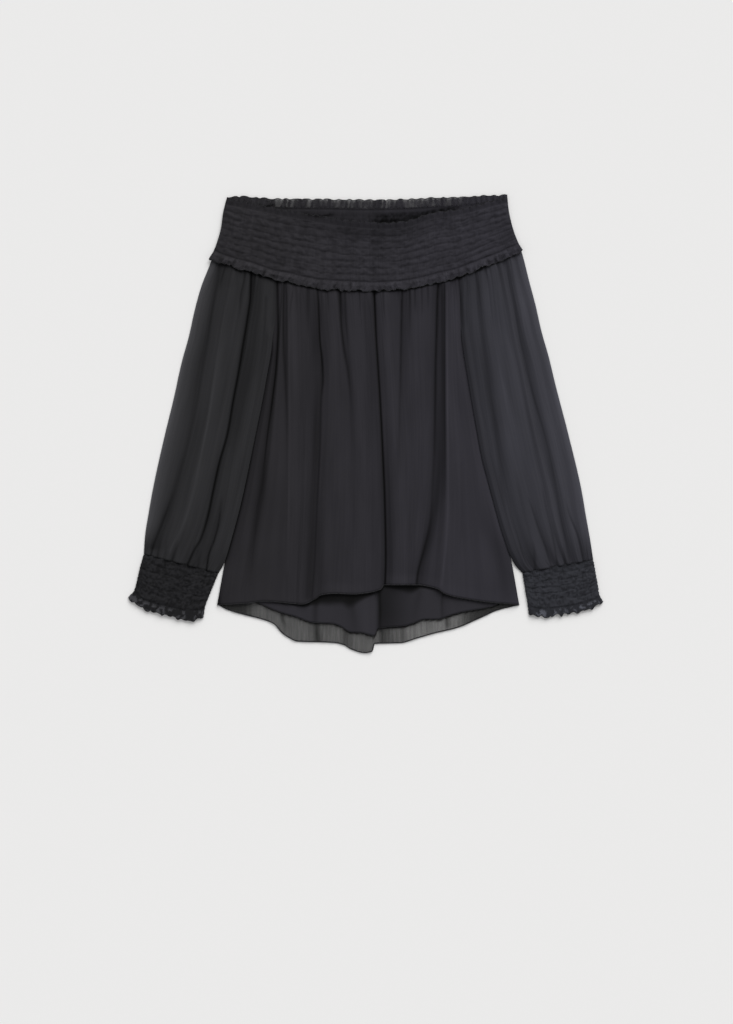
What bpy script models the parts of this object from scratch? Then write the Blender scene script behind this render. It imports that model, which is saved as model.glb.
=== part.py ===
"""Off-the-shoulder blouse with long sleeves, laid flat on its back.

X runs across the blouse, Y runs from the hem towards the neck and Z is up, with the floor at zero.
Left and right are those of someone who looks down on the blouse. Lengths here are in millimetres,
and become metres when the points are placed.
"""

import bisect
import math
from collections import namedtuple

import bmesh
import bpy
from mathutils import Matrix, Vector

MM = 0.001
BLOUSE = "off_the_shoulder_blouse"

# Cloth and seams
CLOTH = 1.2
LINING_CLOTH = 1.0
SEAM = 0.3
PLEAT_ROOM = 0.3
STEEPEST = 1.6
FLOOR = 0.0

# Heights of the layers that lie on each other
LINING_LEVEL = CLOTH + SEAM
FRONT_LEVEL = LINING_LEVEL + LINING_CLOTH + SEAM
SIDE_SEAM_LEVEL = CLOTH + SEAM
SIDE_ROLL = 10.0
SIDE_FADE = 8.0
UNDERARM_FADE = 25.0

# Shirred band
BAND_COLUMNS = 72
BAND_ROWS = 8
BAND_BACK_CLOTH = 1.5
BACK_RELIEF = 0.5
BACK_RELIEF_CHANGE = 0.3
BAND_LEVEL = BAND_BACK_CLOTH + BACK_RELIEF + BACK_RELIEF_CHANGE + SEAM
BAND_CLOTH = 1.5
PUFF = 1.2
PUFF_CHANGE = 0.4
BAND_EDGE_ROUND = 8.0
BAND_EDGE_SHARE = 0.45
HEADING_SHARE = 0.09
SHIRRING_SHARE = 0.87
RUFFLE_RISE_SHARE = 0.885
PANEL_SHARE = 0.892
BAND_BACK_SHARE = 0.887
RUFFLE_CLOTH = 1.0
RUFFLE_LIFT = 7.9
RUFFLE_TILT = 1.1
RUFFLE_WAVE = 1.1
RUFFLE_SWAY = 1.2
HEADING_LIFT = 5.0
BACK_COLUMNS = 60
BACK_RUFFLE_WAVE = 0.6
BACK_SHIRRING_ROWS = 2
BACK_HEADING = 13.0
BACK_ROW_STEP = 4.75

# Sleeves and cuffs
ARMHOLE_BEND_Y = 160.0
UNDERARM_Y = 118.0
SLEEVE_ON_BODY = 3.7
SLEEVE_OFF_BODY_Y = -177.0
SLEEVE_REST = 12.0
SLEEVE_EDGE_ROLL = 1.8
SLEEVE_STEP = 8.5
SLEEVE_GATHERED = 0.45
SLEEVE_GATHER_SHARE = 0.08
CUFF_CLOTH = 1.5
CUFF_ROOM = 0.5
CUFF_PUFFS = 12
CUFF_ROWS = 6
CUFF_RUFFLE_SHARE = 0.82
CUFF_RUFFLE_WAVE = 0.8
CUFF_EDGE_ROLL = 2.2

Point = namedtuple("Point", "x y")
BodySide = namedtuple("BodySide", "y left right")
BandSide = namedtuple("BandSide", "down left right")
SleeveEdge = namedtuple("SleeveEdge", "y x")
CuffLine = namedtuple("CuffLine", "down left_x left_y right_x right_y bow")
Fold = namedtuple("Fold", "x_band x_bust x_waist x_hem rise_band rise_bust rise_waist rise_hem")
SleeveFold = namedtuple(
    "SleeveFold",
    "band underarm elbow forearm cuff rise_band rise_underarm rise_elbow rise_forearm rise_cuff",
)

NECKLINE = [
    Point(-194, 314), Point(-145, 305), Point(-92, 295), Point(-61, 290), Point(-22, 284),
    Point(27, 281), Point(55, 283), Point(90, 294), Point(132, 300), Point(167, 309), Point(198, 316),
]
BACK_NECKLINE = [
    Point(-194, 317), Point(-177, 318), Point(-130, 315), Point(-50, 314), Point(-2, 313),
    Point(57, 314), Point(94, 316), Point(132, 317), Point(166, 319), Point(198, 320),
]
RUFFLE_EDGE = [
    Point(-219, 232), Point(-204, 225), Point(-187, 220), Point(-159, 212), Point(-134, 203),
    Point(-113, 199), Point(-92, 194), Point(-64, 189), Point(-22, 187), Point(13, 186),
    Point(48, 188), Point(76, 192), Point(104, 199), Point(132, 206), Point(160, 217),
    Point(188, 228), Point(219, 243),
]
BAND_SIDES = [
    BandSide(0.0, -194, 198), BandSide(0.25, -199.5, 200), BandSide(0.5, -202.5, 204),
    BandSide(0.75, -208.5, 210), BandSide(0.9, -213.5, 215), BandSide(1.0, -219, 219),
]
BODY_SIDES = [
    BodySide(216, -124, 132), BodySide(160, -124.5, 132.5), BodySide(118, -130, 134),
    BodySide(60, -142, 145.5), BodySide(-3, -154.8, 157.5), BodySide(-47, -163.8, 166),
    BodySide(-111, -177, 181), BodySide(-178, -190.6, 197.3), BodySide(-254, -206, 214),
]
FRONT_HEM = [
    Point(-206, -253), Point(-169, -251), Point(-141, -248), Point(-114, -250), Point(-89, -252),
    Point(-71, -245), Point(-62, -239), Point(-44, -237), Point(-17, -238), Point(3, -236),
    Point(21, -231), Point(26, -225), Point(71, -225), Point(86, -227), Point(101, -231),
    Point(110, -237), Point(126, -242), Point(143, -245), Point(170, -249), Point(214, -253),
]
BACK_HEM = [
    Point(-206, -253), Point(-192, -260), Point(-168, -267), Point(-148, -272), Point(-129, -279),
    Point(-116, -293), Point(-105, -300), Point(-95, -304), Point(-58, -305), Point(-42, -306),
    Point(-30, -309), Point(-20, -315), Point(-1, -320), Point(9, -318), Point(12, -307),
    Point(49, -306), Point(70, -300), Point(94, -293), Point(127, -285), Point(158, -272),
    Point(185, -260), Point(214, -253),
]
LINING_HEM = [
    Point(-194, -236), Point(-160, -246), Point(-116, -264), Point(-98, -269), Point(-71, -278),
    Point(-47, -279), Point(-34, -283), Point(-21, -291), Point(-5, -292), Point(13, -296),
    Point(17, -286), Point(56, -282), Point(68, -278), Point(83, -273), Point(101, -273),
    Point(116, -268), Point(135, -263), Point(177, -255), Point(202, -240),
]

# Back layers, where they show below the front's hem
PLEAT_X = 13.0
PLEAT_RUN = 25.0
PLEAT_RISE = 0.5
LINING_PLEAT_RISE = 0.9
HEM_MARGIN = 4.0
GATHER = 0.35
GATHER_FADE = 16.0
LINING_GATHER = 0.25
LINING_TOP_XS = (-112.0, 120.0)
LINING_HEM_XS = (-194.0, 202.0)
LINING_TOP_GAP = 6.0

# The folds' places down the front, then one row for each crest or crease
FRONT_FOLD_PLACES = (185, 80, -60, -235)
FRONT_FOLDS = [
    Fold(-121.5, -132, -153, -187, 0.8, 1.5, 1.8, 1.2),
    Fold(-118.5, -127, -141, -172, 0.0, 0.0, 0.0, 0.8),
    Fold(-115.5, -122, -135, -165, 2.6, 3.0, 2.4, 1.2),
    Fold(-112.5, -113, -112, -118, 0.4, 0.3, 1.0, 1.0),
    Fold(-108.5, -107.5, -106, -108, 3.0, 3.4, 2.6, 1.6),
    Fold(-98, -95, -92, -98, 1.2, 1.4, 1.2, 1.2),
    Fold(-84, -80, -84, -92, 2.8, 2.4, 2.4, 2.2),
    Fold(-71, -65.5, -72, -81, 3.0, 3.6, 3.4, 2.6),
    Fold(-66, -60, -67, -75, 0.2, 0.0, 0.0, 0.3),
    Fold(-56, -48, -54, -62, 2.4, 2.4, 2.2, 2.2),
    Fold(-41, -33, -31, -37, 2.8, 2.6, 1.6, 1.6),
    Fold(-36.5, -27, -22, -26, 0.3, 0.5, 1.0, 1.2),
    Fold(-28, -18, -12, -14, 2.4, 2.4, 2.2, 2.0),
    Fold(-13, -4, 1, 1, 1.0, 1.2, 1.5, 1.6),
    Fold(6, 14, 20, 21, 3.6, 3.6, 3.6, 3.6),
    Fold(10.5, 18.5, 24.5, 26, 0.2, 0.1, 0.0, 0.0),
    Fold(26, 34, 42, 46, 2.6, 2.4, 2.4, 2.8),
    Fold(49, 50, 56, 56, 0.6, 0.9, 1.6, 2.0),
    Fold(66, 68, 71, 63, 2.6, 2.2, 2.2, 2.4),
    Fold(89, 89, 87, 68, 2.8, 3.2, 3.0, 2.6),
    Fold(97, 97.5, 96, 76, 0.1, 0.0, 0.0, 0.2),
    Fold(105, 105.5, 106, 92, 0.3, 0.3, 0.4, 0.8),
    Fold(110, 111, 113, 105, 3.3, 3.6, 3.6, 3.0),
    Fold(120, 124, 134, 140, 1.2, 1.2, 1.0, 1.0),
    Fold(127, 133, 152, 174, 2.0, 1.8, 1.6, 1.4),
]
FRONT_EDGE_RISE = 0.4
FRONT_STEP = 9.0
FRONT_GATHERED = 0.3
FRONT_GATHER_DEPTH = 32.0
FRONT_ROWS = (0.0, 0.012, 0.035, 0.07, 0.13, 0.21, 0.3, 0.4, 0.5, 0.6, 0.7, 0.8, 0.9, 1.0)

# The folds' places down a sleeve, as shares of its length, then one row for each crest or crease,
# whose first five values are shares of the sleeve's width from its body side
SLEEVE_FOLD_PLACES = (0.0, 0.25, 0.55, 0.85, 1.0)
LEFT_SLEEVE_FOLDS = [
    SleeveFold(0.06, 0.06, 0.06, 0.07, 0.08, 1.0, 2.0, 2.4, 2.2, 1.5),
    SleeveFold(0.17, 0.18, 0.18, 0.14, 0.14, 2.2, 2.6, 2.6, 2.4, 2.6),
    SleeveFold(0.25, 0.24, 0.24, 0.20, 0.22, 0.8, 1.6, 1.8, 0.5, 0.2),
    SleeveFold(0.30, 0.30, 0.30, 0.32, 0.38, 3.0, 3.6, 3.6, 3.6, 3.0),
    SleeveFold(0.34, 0.34, 0.34, 0.365, 0.45, 0.0, 0.0, 0.0, 0.0, 0.3),
    SleeveFold(0.41, 0.42, 0.42, 0.44, 0.52, 2.8, 2.6, 2.4, 2.6, 2.8),
    SleeveFold(0.48, 0.49, 0.48, 0.50, 0.60, 0.3, 1.6, 1.6, 1.6, 0.6),
    SleeveFold(0.62, 0.61, 0.56, 0.58, 0.68, 2.4, 3.6, 3.6, 3.6, 3.0),
    SleeveFold(0.70, 0.68, 0.63, 0.66, 0.76, 1.2, 1.2, 1.0, 0.8, 0.4),
    SleeveFold(0.80, 0.75, 0.70, 0.73, 0.83, 2.2, 2.6, 2.8, 2.6, 2.4),
    SleeveFold(0.87, 0.80, 0.75, 0.79, 0.90, 0.2, 0.2, 0.0, 0.0, 0.2),
    SleeveFold(0.93, 0.90, 0.88, 0.90, 0.95, 1.6, 2.0, 2.0, 1.8, 1.4),
]
RIGHT_SLEEVE_FOLDS = [
    SleeveFold(0.06, 0.06, 0.06, 0.06, 0.07, 1.0, 2.0, 2.2, 2.0, 1.5),
    SleeveFold(0.16, 0.17, 0.14, 0.11, 0.12, 2.4, 2.8, 2.6, 2.0, 2.4),
    SleeveFold(0.24, 0.25, 0.20, 0.16, 0.18, 0.2, 0.3, 0.6, 1.2, 0.4),
    SleeveFold(0.32, 0.33, 0.28, 0.26, 0.28, 2.6, 2.8, 2.4, 2.4, 2.8),
    SleeveFold(0.42, 0.42, 0.40, 0.40, 0.46, 0.8, 1.6, 1.6, 0.6, 0.2),
    SleeveFold(0.52, 0.52, 0.52, 0.50, 0.54, 2.6, 2.6, 2.6, 2.6, 2.8),
    SleeveFold(0.60, 0.60, 0.60, 0.60, 0.62, 0.8, 1.4, 1.4, 1.2, 0.4),
    SleeveFold(0.67, 0.67, 0.66, 0.675, 0.69, 3.2, 3.6, 3.6, 3.6, 2.8),
    SleeveFold(0.71, 0.71, 0.70, 0.715, 0.74, 0.0, 0.0, 0.0, 0.0, 0.2),
    SleeveFold(0.80, 0.80, 0.79, 0.78, 0.80, 2.4, 2.4, 2.4, 2.2, 2.4),
    SleeveFold(0.88, 0.88, 0.88, 0.84, 0.87, 0.6, 1.2, 1.2, 0.4, 0.2),
    SleeveFold(0.94, 0.94, 0.94, 0.92, 0.94, 1.6, 1.8, 1.8, 1.8, 1.4),
]
LEFT_SLEEVE_OUTER = [
    SleeveEdge(240, -213), SleeveEdge(227, -216.5), SleeveEdge(192, -230), SleeveEdge(160, -239),
    SleeveEdge(120, -248), SleeveEdge(88, -257), SleeveEdge(34, -269), SleeveEdge(-15, -281),
    SleeveEdge(-87, -296), SleeveEdge(-123, -302), SleeveEdge(-159, -307), SleeveEdge(-182, -308.5),
]
LEFT_SLEEVE_INNER = [
    SleeveEdge(211, -124.3), SleeveEdge(160, -124.8), SleeveEdge(118, -130.3), SleeveEdge(101, -132),
    SleeveEdge(70, -137.5), SleeveEdge(34, -144), SleeveEdge(-15, -154), SleeveEdge(-64, -164),
    SleeveEdge(-110, -174), SleeveEdge(-146, -182.3), SleeveEdge(-175, -190.3),
    SleeveEdge(-185, -194.5), SleeveEdge(-195, -199.5), SleeveEdge(-209, -206),
]
RIGHT_SLEEVE_OUTER = [
    SleeveEdge(249, 214.5), SleeveEdge(240, 218), SleeveEdge(198, 229), SleeveEdge(164, 238),
    SleeveEdge(129, 246), SleeveEdge(94, 256), SleeveEdge(53, 266), SleeveEdge(-12, 283),
    SleeveEdge(-92, 302), SleeveEdge(-127, 308), SleeveEdge(-161, 314), SleeveEdge(-190, 318.5),
]
RIGHT_SLEEVE_INNER = [
    SleeveEdge(216, 132.3), SleeveEdge(160, 132.8), SleeveEdge(118, 134.3), SleeveEdge(94, 138.3),
    SleeveEdge(60, 144), SleeveEdge(29, 149), SleeveEdge(-3, 154), SleeveEdge(-47, 162),
    SleeveEdge(-81, 171), SleeveEdge(-111, 179), SleeveEdge(-144, 187), SleeveEdge(-165, 193),
    SleeveEdge(-178, 198.5), SleeveEdge(-188, 203.5), SleeveEdge(-199, 210), SleeveEdge(-208.5, 219),
]
LEFT_CUFF = [
    CuffLine(0.0, -308.8, -182.4, -206.2, -209.4, 0.0), CuffLine(0.33, -315.5, -203, -213.5, -227, 5.0),
    CuffLine(0.66, -321, -223, -220.5, -244, 9.0), CuffLine(0.82, -324, -233, -224.5, -255, 11.0),
    CuffLine(1.0, -332, -242, -227, -270, 12.0),
]
RIGHT_CUFF = [
    CuffLine(0.0, 219.1, -208.9, 318.6, -190.4, 0.0), CuffLine(0.33, 222, -225, 322, -209, 4.0),
    CuffLine(0.66, 224.5, -241, 325.5, -229, 7.0), CuffLine(0.82, 226.5, -252, 327, -239, 9.0),
    CuffLine(1.0, 228, -264, 332, -248, 10.0),
]

# Colours of the cloth, linear, with roughness
CHIFFON = (0.024, 0.024, 0.029, 1.0)
SHEER_CHIFFON = (0.105, 0.105, 0.110, 1.0)
SHIRRED_CHIFFON = (0.018, 0.018, 0.022, 1.0)
LINING = (0.021, 0.021, 0.027, 1.0)


def mix(start, end, share):
    return start + (end - start) * share


def smooth(share):
    share = min(max(share, 0.0), 1.0)
    return share * share * (3 - 2 * share)


def track(rows, place, value):
    """Two columns of a table, as (place, value) pairs."""
    return [(getattr(row, place), getattr(row, value)) for row in rows]


def slope_at(points, index):
    """A slope for a curve through the points that never overshoots them."""
    steps = [
        (after[1] - before[1]) / (after[0] - before[0])
        for before, after in zip(points[max(index - 1, 0):], points[max(index - 1, 0) + 1:index + 2])
    ]
    if len(steps) == 1:
        return steps[0]
    if steps[0] * steps[1] <= 0:
        return 0.0
    return 2 * steps[0] * steps[1] / (steps[0] + steps[1])


def curve(points, place):
    """The value at a place on a smooth curve through (place, value) pairs."""
    points = sorted(points)
    place = min(max(place, points[0][0]), points[-1][0])
    index = min(bisect.bisect_right([point[0] for point in points], place), len(points) - 1) - 1
    (start, low), (end, high) = points[index], points[index + 1]
    span = end - start
    share = (place - start) / span
    bend_in = slope_at(points, index) * span * share * (1 - share) ** 2
    bend_out = slope_at(points, index + 1) * span * share ** 2 * (share - 1)
    return mix(low, high, smooth(share)) + bend_in + bend_out


def outline_y(outline, x):
    return curve([(point.x, point.y) for point in outline], x)


def side_x(side, y):
    """The body's left or right side at a height on the page."""
    return curve(track(BODY_SIDES, "y", side), y)


def band_x(across, down):
    left = curve(track(BAND_SIDES, "down", "left"), down)
    right = curve(track(BAND_SIDES, "down", "right"), down)
    return mix(left, right, across)


def band_y(across, down):
    neck = outline_y(NECKLINE, band_x(across, 0.0))
    ruffle = outline_y(RUFFLE_EDGE, band_x(across, 1.0))
    return mix(neck, ruffle, down)


def seam_y(x):
    """Where the panels and sleeves meet the band, just below its back half."""
    left = band_x(0.0, PANEL_SHARE)
    right = band_x(1.0, PANEL_SHARE)
    return band_y((x - left) / (right - left), PANEL_SHARE)


def wall(name, rows, columns, outer, inner, material, closed_from=None, keep=6):
    """A wall of cloth between the points outer(row, column) and inner(row, column).

    The first and last columns are one from the row closed_from down, which makes a tube. Where the
    wall lies level, only every keep-th column stays in its surface.
    """
    bm = bmesh.new()
    bmesh.ops.create_grid(bm, x_segments=columns, y_segments=rows, size=0.5)
    row_of = bm.verts.layers.int.new("row")
    column_of = bm.verts.layers.int.new("column")
    grid = {}
    for vert in bm.verts:
        row = round((0.5 - vert.co.y) * rows)
        column = round((vert.co.x + 0.5) * columns)
        vert[row_of] = row
        vert[column_of] = column
        vert.co = Vector(outer(row, column)) * MM
        grid[row, column] = vert
    if closed_from is not None:
        joins = {grid[row, columns]: grid[row, 0] for row in range(closed_from, rows + 1)}
        bmesh.ops.weld_verts(bm, targetmap=joins)
    copied = bmesh.ops.extrude_face_region(bm, geom=bm.faces[:])
    for part in copied["geom"]:
        if isinstance(part, bmesh.types.BMVert):
            part.co = Vector(inner(part[row_of], part[column_of])) * MM
    bmesh.ops.recalc_face_normals(bm, faces=bm.faces)
    bm.normal_update()
    level_edges = [
        edge
        for edge in bm.edges
        if edge.verts[0][column_of] == edge.verts[1][column_of]
        and edge.verts[0][column_of] % keep
        and all(abs(face.normal.z) > 0.999999 for face in edge.link_faces)
    ]
    bmesh.ops.dissolve_edges(bm, edges=level_edges, use_verts=True)
    mesh = bpy.data.meshes.new(name)
    bm.to_mesh(mesh)
    bm.free()
    mesh.materials.append(material)
    mesh.shade_smooth()
    mesh.set_sharp_from_angle(angle=math.radians(50))
    solid = bpy.data.objects.new(name, mesh)
    bpy.data.collections[BLOUSE].objects.link(solid)
    return solid


def cloth(name, colour, roughness):
    material = bpy.data.materials.new(name)
    material.use_nodes = True
    shader = material.node_tree.nodes["Principled BSDF"]
    shader.inputs["Base Color"].default_value = colour
    shader.inputs["Roughness"].default_value = roughness
    shader.inputs["Metallic"].default_value = 0.0
    material.diffuse_color = colour
    return material


def steep(thickness, rise, run):
    """The upright depth that gives a sloping wall its thickness."""
    return thickness * min(math.hypot(1.0, rise / max(run, 0.1)), STEEPEST)


def puff(row, column, height, change):
    """How far the cloth puffs out between rows of elastic, in staggered cells."""
    return height + change * wave(row // 2 + column) if row % 2 else 0.0


def wave(number):
    return 1 if number % 2 else -1


def band_front():
    """Front half of the band: heading, shirring rows, and the ruffle over the seam."""
    heading = [0.0, HEADING_SHARE / 2]
    shirring = [
        mix(HEADING_SHARE, SHIRRING_SHARE, step / (2 * BAND_ROWS)) for step in range(2 * BAND_ROWS + 1)
    ]
    ruffle = [RUFFLE_RISE_SHARE, 0.925, 0.965, 1.0]
    downs = heading + shirring + ruffle
    first = len(heading)
    last = first + 2 * BAND_ROWS

    def place(row, column):
        across = column / BAND_COLUMNS
        down = downs[row]
        sway = RUFFLE_SWAY * wave(column) if row in (0, len(downs) - 1) else 0.0
        return band_x(across, down), band_y(across, down) + sway

    def edge_round(x, down):
        depth = min(x - band_x(0.0, down), band_x(1.0, down) - x) / BAND_EDGE_ROUND
        arch = math.sqrt(1 - (1 - min(max(depth, 0.0), 1.0)) ** 2)
        return mix(BAND_EDGE_SHARE, 1.0, arch)

    def outer_z(row, column, x):
        if row < first:
            share = 1 - row / first
            return mix(BAND_LEVEL + BAND_CLOTH, HEADING_LIFT, share) + RUFFLE_WAVE * wave(column) * share
        if row <= last:
            relief = BAND_CLOTH + puff(row - first, column, PUFF, PUFF_CHANGE)
            return BAND_LEVEL + relief * edge_round(x, downs[row])
        share = (row - last) / (len(downs) - 1 - last)
        rise = mix(RUFFLE_LIFT - RUFFLE_TILT, RUFFLE_LIFT, share)
        return rise + RUFFLE_WAVE * wave(column) * share

    def outer(row, column):
        x, y = place(row, column)
        return x, y, outer_z(row, column, x)

    def inner(row, column):
        x, y = place(row, column)
        if first <= row <= last:
            return x, y, BAND_LEVEL
        return x, y, max(outer_z(row, column, x) - RUFFLE_CLOTH, BAND_LEVEL)

    material = cloth("shirred_chiffon_front", SHIRRED_CHIFFON, 0.75)
    wall("band_front", len(downs) - 1, BAND_COLUMNS, outer, inner, material)


def band_back():
    """Back half of the band: its sheer ruffle, the shirring in the neck opening, and the rest plain."""
    heights = [0.0, BACK_HEADING / 2, BACK_HEADING]
    heights += [BACK_HEADING + (step + 1) * BACK_ROW_STEP for step in range(2 * BACK_SHIRRING_ROWS)]
    plain_shares = [0.5, 1.0]
    first_plain = len(heights)

    def place(row, column):
        across = column / BACK_COLUMNS
        top_y = outline_y(BACK_NECKLINE, band_x(across, 0.0))
        bottom_y = band_y(across, BAND_BACK_SHARE)
        if row < first_plain:
            y = top_y - heights[row]
        else:
            y = mix(top_y - heights[-1], bottom_y, plain_shares[row - first_plain])
        down = min(max((top_y - y) / (top_y - bottom_y), 0.0), 1.0) * BAND_BACK_SHARE
        if row == 0:
            y += wave(column) * RUFFLE_SWAY / 2
        return band_x(across, down), y

    def outer(row, column):
        x, y = place(row, column)
        if row < 2:
            return x, y, BAND_BACK_CLOTH + BACK_RUFFLE_WAVE * wave(column) * (1 - row / 2)
        if row < first_plain:
            return x, y, BAND_BACK_CLOTH + puff(row, column, BACK_RELIEF, BACK_RELIEF_CHANGE)
        return x, y, BAND_BACK_CLOTH

    def inner(row, column):
        x, y = place(row, column)
        return x, y, FLOOR

    material = cloth("shirred_chiffon_back", SHIRRED_CHIFFON, 0.75)
    rows = first_plain + len(plain_shares) - 1
    wall("band_back", rows, BACK_COLUMNS, outer, inner, material)


def fold_columns(widths, widest):
    """Places across a row of folds: a fold's number plus the share of the way to the next one."""
    places = []
    for number, width in enumerate(widths):
        steps = max(1, round(width / widest))
        places += [number + step / steps for step in range(steps)]
    return places + [float(len(widths))]


def between(place, values):
    """Mixes the values of the two folds that a place lies between, round over the crests."""
    number = min(int(place), len(values) - 2)
    return mix(values[number], values[number + 1], smooth(place - number))


def straight_between(place, values):
    number = min(int(place), len(values) - 2)
    return mix(values[number], values[number + 1], place - number)


def front_fold_x(y):
    """The x of each side, the line where it rolls down to its seam, and each fold of the front."""
    left = side_x("left", y)
    right = side_x("right", y)
    folds = [curve(list(zip(FRONT_FOLD_PLACES, fold[:4])), y) for fold in FRONT_FOLDS]
    left_roll = min(SIDE_ROLL, (folds[0] - left) / 2)
    right_roll = min(SIDE_ROLL, (right - folds[-1]) / 2)
    return [left, left + left_roll] + folds + [right - right_roll, right]


def front_fold_rise(y):
    edges = [FRONT_EDGE_RISE, FRONT_EDGE_RISE]
    return edges + [curve(list(zip(FRONT_FOLD_PLACES, fold[4:])), y) for fold in FRONT_FOLDS] + edges


def front_panel():
    """Front of the body, gathered at the band, with long soft folds and a hem that is high in the middle."""
    bust = front_fold_x(FRONT_FOLD_PLACES[1])
    places = fold_columns([after - before for before, after in zip(bust, bust[1:])], FRONT_STEP)

    def page(row, column):
        top_x = straight_between(places[column], front_fold_x(FRONT_FOLD_PLACES[0]))
        hem_x = straight_between(places[column], front_fold_x(FRONT_FOLD_PLACES[3]))
        y = mix(seam_y(top_x), outline_y(FRONT_HEM, hem_x), FRONT_ROWS[row])
        return straight_between(places[column], front_fold_x(y)), y

    def under(row, column):
        x, y = page(row, column)
        from_side = min(x - side_x("left", y), side_x("right", y) - x)
        above_seam = smooth((y - UNDERARM_Y + UNDERARM_FADE) / UNDERARM_FADE)
        edge_level = mix(SIDE_SEAM_LEVEL, FRONT_LEVEL, above_seam)
        level = mix(edge_level, FRONT_LEVEL, smooth(from_side / SIDE_ROLL))
        gathered = mix(FRONT_GATHERED, 1.0, smooth((seam_y(x) - y) / FRONT_GATHER_DEPTH))
        rise = between(places[column], front_fold_rise(y)) * gathered * smooth(from_side / SIDE_FADE)
        return level + rise

    def outer(row, column):
        x, y = page(row, column)
        before = max(column - 1, 0)
        after = min(column + 1, len(places) - 1)
        rise = under(row, after) - under(row, before)
        run = page(row, after)[0] - page(row, before)[0]
        return x, y, under(row, column) + steep(CLOTH, rise, run)

    def inner(row, column):
        x, y = page(row, column)
        return x, y, under(row, column)

    material = cloth("crinkle_chiffon_front", CHIFFON, 0.7)
    wall("front_panel", len(FRONT_ROWS) - 1, len(places) - 1, outer, inner, material)


def back_columns(count):
    """Even shares across the back, with the middle pleat's two edges put in."""
    shares = [step / count for step in range(count + 1)]
    left = side_x("left", BODY_SIDES[-1].y)
    right = side_x("right", BODY_SIDES[-1].y)
    edge = (PLEAT_X - 2.0 - left) / (right - left)
    foot = (PLEAT_X + 1.0 - left) / (right - left)
    kept = [share for share in shares if abs(share - edge) > 0.3 / count and abs(share - foot) > 0.3 / count]
    return sorted(kept + [edge, foot])


def middle_pleat(x, rise):
    """How far the middle pleat lifts the cloth on its left side."""
    return rise * smooth((x - PLEAT_X + PLEAT_RUN) / PLEAT_RUN) if x < PLEAT_X - 1 else 0.0


def strip_page(top_xs, hem_xs, hem, cover, covered, shown):
    """The heights of a back layer's rows: down to the hem that covers it, then where it shows."""

    def row_y(share, row):
        hem_x = mix(hem_xs[0], hem_xs[1], share)
        hem_y = outline_y(hem, hem_x)
        top_y = seam_y(mix(top_xs[0], top_xs[1], share))
        cover_x = mix(side_x("left", cover(hem_x)), side_x("right", cover(hem_x)), share)
        cover_y = max(cover(cover_x) - HEM_MARGIN, hem_y + 2.0)
        if row < len(covered):
            return mix(top_y, cover_y, covered[row])
        return mix(cover_y, hem_y, shown[row - len(covered)])

    return row_y


def back_panel():
    """Back of the body, flat on the floor, with fine gathers where it shows below the lining."""
    shares = back_columns(58)
    top, bottom = BODY_SIDES[0], BODY_SIDES[-1]
    covered = (0.0, 0.12, 0.21, 0.34, 0.6, 0.8, 1.0)
    shown = (0.3, 0.65, 1.0)

    def lining_y(x):
        return outline_y(LINING_HEM, x)

    row_y = strip_page((top.left, top.right), (bottom.left, bottom.right), BACK_HEM, lining_y, covered, shown)

    def page(row, column):
        y = row_y(shares[column], row)
        return mix(side_x("left", y), side_x("right", y), shares[column]), y

    def outer(row, column):
        x, y = page(row, column)
        if row < len(covered):
            return x, y, CLOTH
        from_side = min(x - side_x("left", y), side_x("right", y) - x)
        gathers = (GATHER + GATHER * wave(column)) * smooth((from_side - HEM_MARGIN) / GATHER_FADE)
        return x, y, CLOTH + gathers + middle_pleat(x, PLEAT_RISE)

    def inner(row, column):
        x, y = page(row, column)
        return x, y, FLOOR

    material = cloth("sheer_chiffon_back", SHEER_CHIFFON, 0.7)
    wall("back_panel", len(covered) + len(shown) - 1, len(shares) - 1, outer, inner, material)


def back_lining():
    """Lining of the back, between the two hems, with a pleat at the middle."""
    inset = SIDE_ROLL + 2.0
    shares = back_columns(34)
    covered = (0.0, 0.12, 0.21, 0.34, 0.7, 1.0)
    shown = (0.4, 1.0)

    def front_y(x):
        return outline_y(FRONT_HEM, x)

    row_y = strip_page(LINING_TOP_XS, LINING_HEM_XS, LINING_HEM, front_y, covered, shown)

    def page(row, column):
        y = row_y(shares[column], row) - (LINING_TOP_GAP if row == 0 else 0.0)
        return mix(side_x("left", y) + inset, side_x("right", y) - inset, shares[column]), y

    def outer(row, column):
        x, y = page(row, column)
        level = LINING_LEVEL + LINING_CLOTH
        if row < len(covered) or y > front_y(x) - HEM_MARGIN:
            return x, y, level
        gathers = LINING_GATHER + LINING_GATHER * wave(column)
        return x, y, level + gathers + middle_pleat(x, LINING_PLEAT_RISE)

    def inner(row, column):
        x, y = page(row, column)
        return x, y, LINING_LEVEL

    material = cloth("lining_back", LINING, 0.6)
    wall("back_lining", len(covered) + len(shown) - 1, len(shares) - 1, outer, inner, material)


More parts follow.
